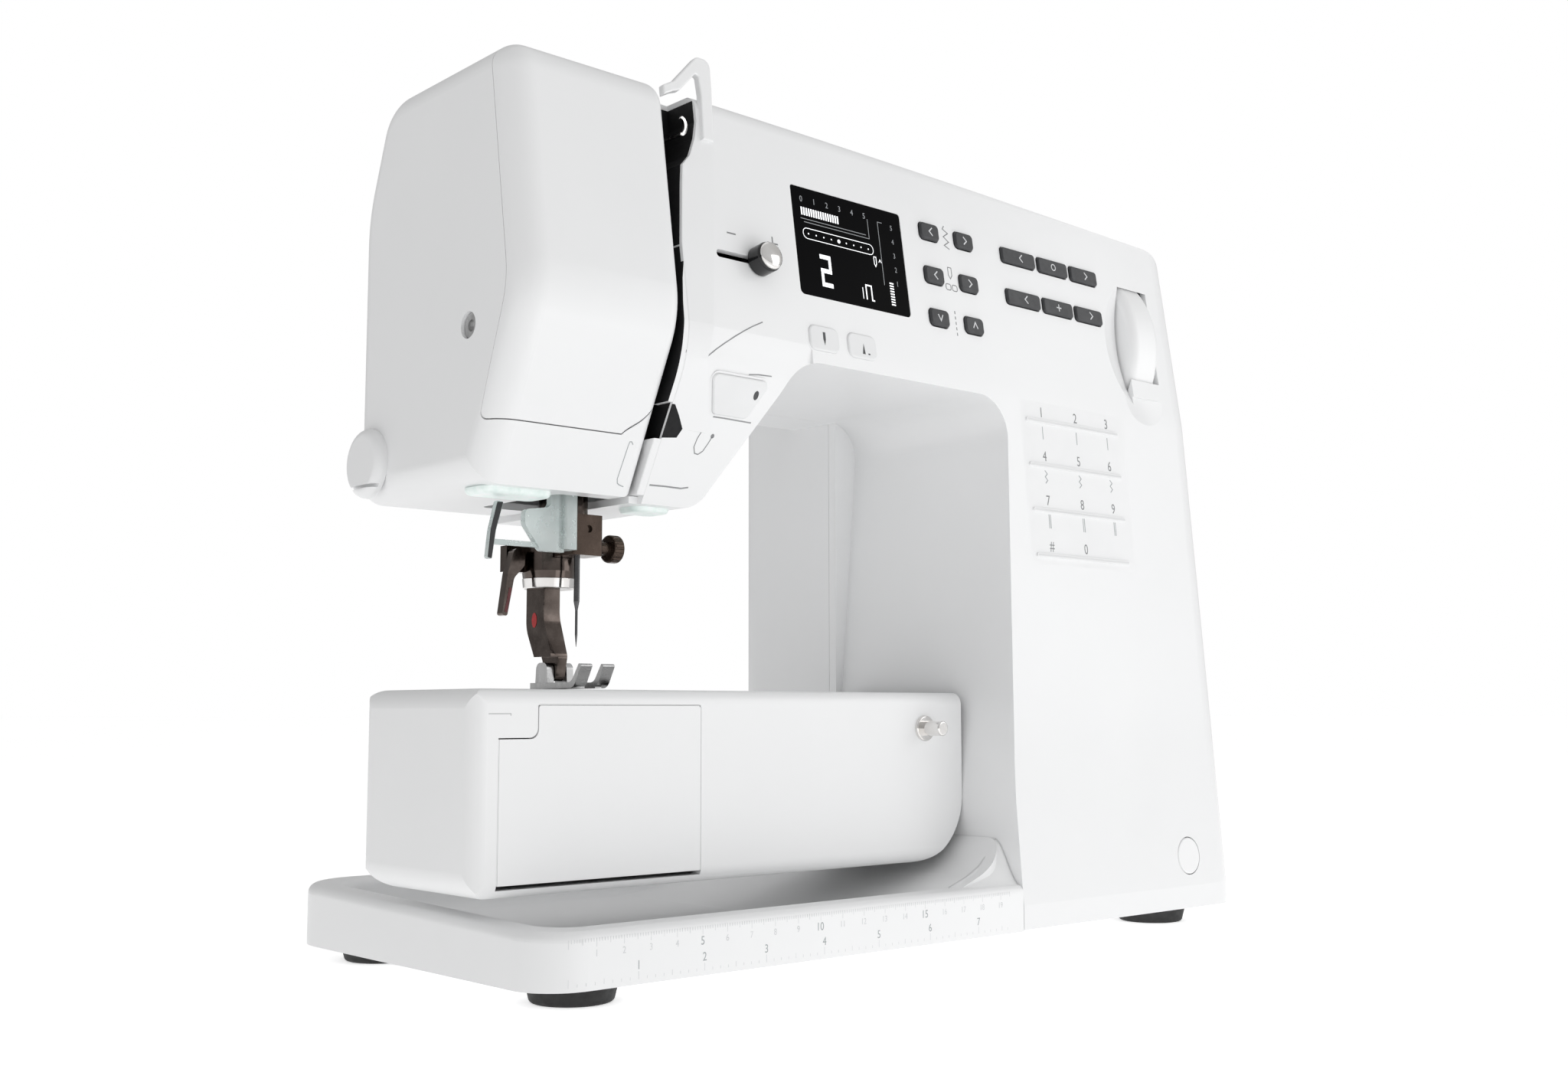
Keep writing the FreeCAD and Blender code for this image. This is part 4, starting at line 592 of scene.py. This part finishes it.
def grown(pts, o):
    """A convex outline of (u, v, radius) corners moved out by o."""
    out = []
    m_ = len(pts)
    for i in range(m_):
        a_, b_, c_ = (Vector(pts[k % m_][:2]) for k in (i - 1, i, i + 1))
        n1, n2 = (b_ - a_).normalized(), (c_ - b_).normalized()
        n1, n2 = Vector((n1.y, -n1.x)), Vector((n2.y, -n2.x))
        p_ = b_ + (n1 + n2) * o / (1.0 + n1.dot(n2))
        out.append((p_.x, p_.y, pts[i][2] + o))
    return out


for nm, x0, x1 in (("needle_stop", 111.0, 125.5), ("securing", 130.0, 144.5)):
    key = [(x0, 215.6, 3.0), (x1, 215.6, 3.0), (x1, 225.0, 3.0), (x0, 225.0, 3.0)]
    gasket(nm + "_gasket", round_poly(grown(key, 0.06), 8), round_poly(grown(key, 0.75), 8), on_panel, -0.03, 0.3, "machine", M["shell"])
key = [(74.0, 189.2, 2.0), (89.0, 189.2, 2.5), (95.0, 202.0, 2.5), (68.6, 202.0, 2.0)]
gasket("reverse_gasket", round_poly(grown(key, 0.06), 8), round_poly(grown(key, 0.75), 8), on_lobe, -0.03, 0.3, "machine", M["shell"])
seam = lambda pts, y0, nm: solid(nm, prism(pts, on_y(y0), 0.0, 0.9), M["base"], "machine", smooth=False)
seam([(-5.81, 36.2), (-5.59, 36.2), (-5.59, 80.0), (-5.81, 80.0)], 30.05, "door_seam_left")
seam([(73.08, 36.2), (73.32, 36.2), (73.32, 90.4), (73.08, 90.4)], 30.14, "door_seam_right")
seam([(8.9, 90.38), (72.9, 90.38), (72.9, 90.62), (8.9, 90.62)], 30.25, "door_seam_top")
Art().line([(-9.5, 87.8), (-1.6, 87.8), (-1.6, 87.2)], 0.3).lay("free_arm_tab_line", on_y(30.0), "machine", M["soft_seam_and_crease_shade"], out=0.05, thick=0.3)

# ---------------------------------------------------------------------------
# Control panel print
# ---------------------------------------------------------------------------
a = Art()
a.line([(77.0, 252.3), (81.0, 252.3)], 0.55)                       # minus
a.line([(95.6, 252.4), (100.6, 252.4)], 0.55)                      # plus
a.line([(98.1, 249.9), (98.1, 254.9)], 0.55)
zz = [(191.2, 278.0), (190.2, 276.6), (193.0, 275.2), (190.2, 273.4), (193.0, 271.6), (190.2, 269.8), (193.0, 268.6)]
a.line(zz, 0.4)
a.line([(190.4, 260.8), (190.4, 257.6), (191.4, 256.2), (192.4, 257.6), (192.4, 260.8), (190.4, 260.8)], 0.35)
a.rrect(188.2, 251.4, 191.0, 253.8, 0.8, 0.35)
a.rrect(191.8, 251.4, 194.6, 253.8, 0.8, 0.35)
for k in range(5):
    a.line([(191.4, 243.0 - k * 2.2), (191.4, 241.8 - k * 2.2)], 0.45)
a.lay("panel_print", on_panel, "machine", M["ink_grey"])

# bright chrome dome on the slider's knob
bm = bmesh.new()
for r_ in range(7):
    t = math.pi / 2 * r_ / 6
    rad, hgt = 5.0 * math.cos(t), 6.72 + 1.5 * math.sin(t)
    for k in range(24 if r_ < 6 else 1):
        q = 2 * math.pi * k / 24
        bm.verts.new(on_panel(90.5 + rad * math.cos(q), 244.0 + rad * math.sin(q) * PC, -hgt))
bm.verts.ensure_lookup_table()
for r_ in range(6):
    for k in range(24):
        j = (k + 1) % 24
        if r_ < 5:
            bm.faces.new([bm.verts[r_ * 24 + k], bm.verts[r_ * 24 + j], bm.verts[(r_ + 1) * 24 + j], bm.verts[(r_ + 1) * 24 + k]])
        else:
            bm.faces.new([bm.verts[r_ * 24 + k], bm.verts[r_ * 24 + j], bm.verts[144]])
bm.faces.new([bm.verts[k] for k in range(24)][::-1])
solid("slider_dome", bm, M["bright"], "slider")

# ---------------------------------------------------------------------------
# Display
# ---------------------------------------------------------------------------
glass = lambda x, z, d=0.0: on_panel(x, z, d + 0.25)
lit, dim = Art(), Art()
for k in range(16):
    u = 114.0 + k * 1.2
    lit.rect(u, 266.8, u + 0.7, 269.8)
dim.line([(113.5, 265.4), (146.6, 265.4)], 0.25)
dim.line([(148.2, 272.0), (148.2, 264.2), (115.0, 264.2)], 0.25)
for k, s in enumerate("012345"):
    dim.text(s, 114.6 + k * 6.4, 273.0, 2.2, 0.9)
lit.rrect(114.0, 257.9, 149.6, 261.9, 1.9, 0.24)
for k in range(9):
    lit.disc(116.6 + k * 3.8, 259.9, 0.75 if k == 4 else 0.3, 12)
px = 1.38
two = ["###", "..#", "..#", ".##", "#..", "#..", "###"]
two = ["####", "...#", "...#", "####", "#...", "#...", "####"]
for r_, row in enumerate(two):
    for c_, ch in enumerate(row):
        if ch == "#":
            u, w = 121.0 + c_ * px, 253.0 - r_ * px * 1.28
            lit.rect(u, w - px * 1.28 + 0.12, u + px - 0.12, w)
lit.line([(149.4, 257.4), (149.4, 254.7), (150.0, 253.6), (150.6, 254.7), (150.6, 257.4), (149.4, 257.4)], 0.3)
lit.line([(151.9, 255.6), (152.6, 256.7), (153.3, 255.6)], 0.3)
lit.line([(141.6, 244.0), (141.6, 239.6)], 0.3)
lit.line([(143.4, 239.6), (143.4, 245.2), (146.2, 245.2), (146.2, 239.6), (147.4, 239.6)], 0.55)
dim.line([(156.0, 272.0), (153.6, 272.0), (153.6, 247.0)], 0.25)
for k, s in enumerate("54321"):
    dim.text(s, 160.8, 271.0 - k * 5.6, 2.0, 0.9)
for k in range(9):
    w = 239.6 + k * 1.05
    lit.rect(156.4, w, 158.5, w + 0.5)
lit.lay("display_lit", glass, "machine", M["lcd_lit"], out=0.04)
dim.lay("display_faint_marks", glass, "machine", M["lcd_dim"], out=0.04)

# ---------------------------------------------------------------------------
# Signs on the push buttons
# ---------------------------------------------------------------------------
key_face = lambda x, z, d=0.0: on_panel(x, z, d - 1.2)


def chevron(x, z, way, s=1.5):
    q = {"<": [(0.55, 1), (-0.55, 0), (0.55, -1)], ">": [(-0.55, 1), (0.55, 0), (-0.55, -1)],
         "v": [(-0.8, 0.75), (0, -0.75), (0.8, 0.75)], "^": [(-0.8, -0.75), (0, 0.75), (0.8, -0.75)]}[way]
    return Art().line([(x + p[0] * s, z + p[1] * s) for p in q], 0.5)


for n, x, z, way in (("width_down", 181.8, 273.4, "<"), ("width_up", 201.6, 273.4, ">"),
                     ("length_down", 181.8, 255.6, "<"), ("length_up", 201.6, 255.6, ">"),
                     ("needle_left", 181.5, 238.4, "v"), ("needle_right", 201.4, 238.4, "^"),
                     ("memory_back", 235.6, 272.6, "<"), ("memory_next", 278.2, 272.6, ">"),
                     ("alphabet_back", 235.6, 254.9, "<"), ("alphabet_next", 278.2, 254.9, ">")):
    chevron(x, z, way, 1.6).lay("sign_" + n, key_face, n + "_key", M["ink_light"], out=0.04)
Art().ring(256.5, 272.6, 1.3, 0.45).lay("sign_memory_store", key_face, "memory_store_key", M["ink_light"], out=0.04)
Art().line([(255.0, 254.9), (258.0, 254.9)], 0.5).line([(256.5, 253.4), (256.5, 256.4)], 0.5) \
    .lay("sign_alphabet", key_face, "alphabet_key", M["ink_light"], out=0.04)

white_face = lambda x, z, d=0.0: on_panel(x, z, d - 0.7)
Art().poly([(117.4, 222.6), (118.6, 222.6), (118.6, 220.0), (118.0, 217.8), (117.4, 220.0)]) \
    .lay("sign_needle_stop", white_face, "needle_stop_key", M["ink_dark"], out=0.04)
Art().poly([(136.8, 217.4), (138.2, 217.4), (137.6, 221.4)]).rect(139.6, 217.4, 140.6, 217.9) \
    .lay("sign_securing", white_face, "securing_key", M["ink_dark"], out=0.04)

# ---------------------------------------------------------------------------
# Keypad print
# ---------------------------------------------------------------------------
k1, k2 = Art(), Art()
rows = ["123", "456", "789", "#0"]
for r_, (row, z) in enumerate(zip(rows, (208.0, 190.0, 172.0, 153.7))):
    for s, x in zip(row, (237.0, 258.7, 279.3)):
        k1.text(s, x, z, 4.0, 0.86)
for x in (237.0, 258.7, 279.3):
    for r_, z in enumerate((199.5, 181.5, 163.5)):
        if r_ == 0:
            k2.line([(x, z + 2.6), (x, z - 2.6)], 0.4)
        elif r_ == 1:
            k2.line([(x - 0.7, z + 2.6), (x + 0.7, z + 1.3), (x - 0.7, z), (x + 0.7, z - 1.3), (x - 0.7, z - 2.6)], 0.4)
        else:
            k2.line([(x - 0.45, z + 2.8), (x - 0.45, z - 2.8)], 0.4).line([(x + 0.45, z + 2.8), (x + 0.45, z - 2.8)], 0.4)
# painted shade: a grey line along each keypad ledge stands in for the ledge's shadow
k3 = Art()
for kz in (204.2, 186.0, 167.8, 149.6):
    k3.line([(227.6, kz), (285.9, kz)], 0.8)
k3.lay("keypad_ledge_painted_shade", on_lower, "machine", M["ledge"], out=0.74, thick=0.2)
k1.lay("keypad_digits", on_lower, "machine", M["ink_grey"], out=0.04)
k2.lay("keypad_icons", on_lower, "machine", M["ink_pale"], out=0.04)

# ---------------------------------------------------------------------------
# Ruler on the base
# ---------------------------------------------------------------------------
r1, r2 = Art(), Art()
for k in range(0, 196):
    x = float(k)
    if k % 10 == 0:
        h = 2.6
    elif k % 5 == 0:
        h = 1.8
    else:
        h = 1.1
    r2.rect(x - 0.07, 22.6 - h, x + 0.07, 22.6)
for k in range(1, 20):
    (r1 if k % 5 == 0 else r2).text(str(k), k * 10.0, 18.2, 2.6 if k % 5 == 0 else 2.0, 0.9)
for k in range(0, 62):
    x = k * 25.4 / 8.0
    if x > 195:
        break
    h = 2.4 if k % 8 == 0 else (1.6 if k % 4 == 0 else 0.9)
    r2.rect(x - 0.07, 9.0, x + 0.07, 9.0 + h)
for k in range(1, 8):
    r1.text(str(k), k * 25.4, 13.3, 2.6, 0.9)
ruler_face = on_y(0.12)
r1.lay("ruler_numbers", ruler_face, "machine", M["ink_pale"], out=0.03, thick=0.05)
r2.lay("ruler_marks", ruler_face, "machine", M["ink_light"], out=0.03, thick=0.05)

# smooth blend between the rim and the column at the front of the trough
def ramp_z(x):
    p = [(150.0, 17.2), (165.0, 20.8), (178.0, 24.9), (186.0, 27.6), (193.0, 31.0), (198.0, 35.4), (202.7, 40.8)]
    for a_, b_ in zip(p, p[1:]):
        if x <= b_[0]:
            return a_[1] + (b_[1] - a_[1]) * (x - a_[0]) / (b_[0] - a_[0])
    return p[-1][1]


bm = bmesh.new()
grid = []
for i in range(27):
    x = 176.5 + 26.2 * i / 26.0
    col_ = []
    for j in range(11):
        t = j / 10.0
        y = 1.6 + 12.0 * t
        s_ = t * t * (3 - 2 * t)
        col_.append(bm.verts.new(R(x, y, 24.2 + max(0.1, ramp_z(x) - 24.2) * s_)))
    col_.append(bm.verts.new(R(x, 13.6, 16.0)))
    col_.append(bm.verts.new(R(x, 1.6, 16.0)))
    grid.append(col_)
for a_, b_ in zip(grid, grid[1:]):
    n_ = len(a_)
    for k in range(n_):
        j = (k + 1) % n_
        bm.faces.new((a_[k], a_[j], b_[j], b_[k]))
bm.faces.new(grid[0][::-1])
bm.faces.new(grid[-1])
o = solid("base_blend", bm, M["base"], "machine", smooth=False)
for p in o.data.polygons:
    p.use_smooth = p.normal.z > 0.2

# ---------------------------------------------------------------------------
# Red marks on the foot
# ---------------------------------------------------------------------------
left_face = lambda y, z, d=0.0: R(40.0 + d, y, z)
Art().poly([(80.9 + 1.5 * math.cos(t * math.pi / 10), 120.0 + 2.6 * math.sin(t * math.pi / 10)) for t in range(20)]) \
    .lay("foot_red_dot", left_face, "presser", M["red"], out=0.12, thick=0.2)
lever_face = on_y(77.6)
Art().poly([(25.7, 122.2), (26.7, 122.0), (28.5, 130.4), (27.4, 130.6)]).lay("lever_red_tip", lever_face, "foot_lever", M["dark_red"], out=0.1, thick=0.3)
# polished collar round the foot's cone
bm = bmesh.new()
q = []
for k in range(64):
    t = 2 * math.pi * k / 64
    q.append([bm.verts.new(R(45.5 + r_ * math.cos(t), 80.5 + r_ * math.sin(t), z)) for r_, z in
              ((8.55, 130.9), (8.95, 131.2), (9.30, 134.4), (9.0, 134.6), (8.4, 134.0))])
for k in range(64):
    a_, b_ = q[k], q[(k + 1) % 64]
    for m_ in range(5):
        j = (m_ + 1) % 5
        bm.faces.new((a_[m_], a_[j], b_[j], b_[m_]))
solid("foot_collar", bm, M["bright"], "presser", smooth=False, bevel=0.1)
# dark finger of the threader
Art().poly([(9.0, 156.6), (11.1, 156.6), (8.5, 147.4), (7.1, 137.9), (5.7, 138.2), (6.6, 147.4)]) \
    .lay("threader_finger_face", on_y(56.6), "threader", M["black"], out=0.12, thick=0.3)

# ---------------------------------------------------------------------------
# Studio: floor, light, camera
# ---------------------------------------------------------------------------
bm = bmesh.new()
bmesh.ops.create_circle(bm, cap_ends=True, radius=40.0, segments=96)
me = bpy.data.meshes.new("floor")
bm.to_mesh(me)
bm.free()
floor = bpy.data.objects.new("floor", me)
bpy.context.scene.collection.objects.link(floor)
paper = surface("floor_paper", (0.90, 0.90, 0.90), (0.92, 0.92, 0.92), 0.8, 0.9, mottle=1.2,
                grain=300.0, grain_mm=0.02, strength=0.1, spec=0.1)
paper.node_tree.nodes["Principled BSDF"].inputs["Emission Color"].default_value = (1, 1, 1, 1)
paper.node_tree.nodes["Principled BSDF"].inputs["Emission Strength"].default_value = 0.52
me.materials.append(paper)

scene = bpy.context.scene
w = bpy.data.worlds.new("studio")
scene.world = w
w.use_nodes = True
nt = w.node_tree
bg = nt.nodes["Background"]
tc = nt.nodes.new("ShaderNodeTexCoord")
dot = nt.nodes.new("ShaderNodeVectorMath")
dot.operation = "DOT_PRODUCT"
L = Vector((0.42, -0.66, 0.62)).normalized()
dot.inputs[1].default_value = L
nt.links.new(tc.outputs["Generated"], dot.inputs[0])
mr = nt.nodes.new("ShaderNodeMapRange")
mr.inputs["From Min"].default_value = -1.0
mr.inputs["From Max"].default_value = 1.0
mr.inputs["To Min"].default_value = 0.34
mr.inputs["To Max"].default_value = 0.61
nt.links.new(dot.outputs["Value"], mr.inputs["Value"])
lp = nt.nodes.new("ShaderNodeLightPath")
mix = nt.nodes.new("ShaderNodeMix")
mix.data_type = "FLOAT"
nt.links.new(lp.outputs["Is Camera Ray"], mix.inputs["Factor"])
nt.links.new(mr.outputs["Result"], mix.inputs["A"])
mix.inputs["B"].default_value = 1.0
nt.links.new(mix.outputs["Result"], bg.inputs["Strength"])
bg.inputs["Color"].default_value = (1.0, 1.0, 1.0, 1.0)


def area(name, loc, target, size, power, colour=(1, 1, 1)):
    d = bpy.data.lights.new(name, "AREA")
    d.shape = "RECTANGLE"
    d.size, d.size_y = size
    d.energy = power
    d.color = colour
    o = bpy.data.objects.new(name, d)
    scene.collection.objects.link(o)
    o.location = loc
    o.rotation_mode = "QUATERNION"
    o.rotation_quaternion = (Vector(target) - Vector(loc)).to_track_quat("-Z", "Y")
    return o


area("key_light", (0.60, -0.64, 0.40), (0.09, -0.05, 0.17), (0.5, 0.5), 1.12)
area("throat_fill", (-0.06, -0.36, 0.07), (0.06, 0.03, 0.17), (0.22, 0.16), 0.02)
area("trough_fill", (0.02, -0.42, 0.05), (0.03, 0.0, 0.03), (0.35, 0.05), 0.07)
area("top_light", (0.0, 0.1, 1.7), (0, 0, 0.1), (1.4, 1.0), 1.4)
area("left_fill", (-1.3, -0.15, 0.30), (0.05, 0.02, 0.12), (0.9, 0.8), 0.1)

psi, th = math.radians(41.979), math.radians(6.111)
roll = math.radians(-0.077)
fwd = Vector((math.sin(psi) * math.cos(th), math.cos(psi) * math.cos(th), math.sin(th)))
right = Vector((math.cos(psi), -math.sin(psi), 0.0))
up = right.cross(fwd)
r2_ = right * math.cos(roll) + up * math.sin(roll)
u2_ = up * math.cos(roll) - right * math.sin(roll)
cam = bpy.data.cameras.new("camera")
cam.sensor_width = 36.0
cam.sensor_fit = "HORIZONTAL"
cam.lens = 38.167
cam.clip_start, cam.clip_end = 0.01, 100.0
co = bpy.data.objects.new("camera", cam)
scene.collection.objects.link(co)
co.matrix_world = Matrix(((r2_.x, u2_.x, -fwd.x, -0.45189), (r2_.y, u2_.y, -fwd.y, -0.48837),
                          (r2_.z, u2_.z, -fwd.z, 0.08805), (0, 0, 0, 1)))
scene.camera = co
scene.view_settings.view_transform = "Standard"
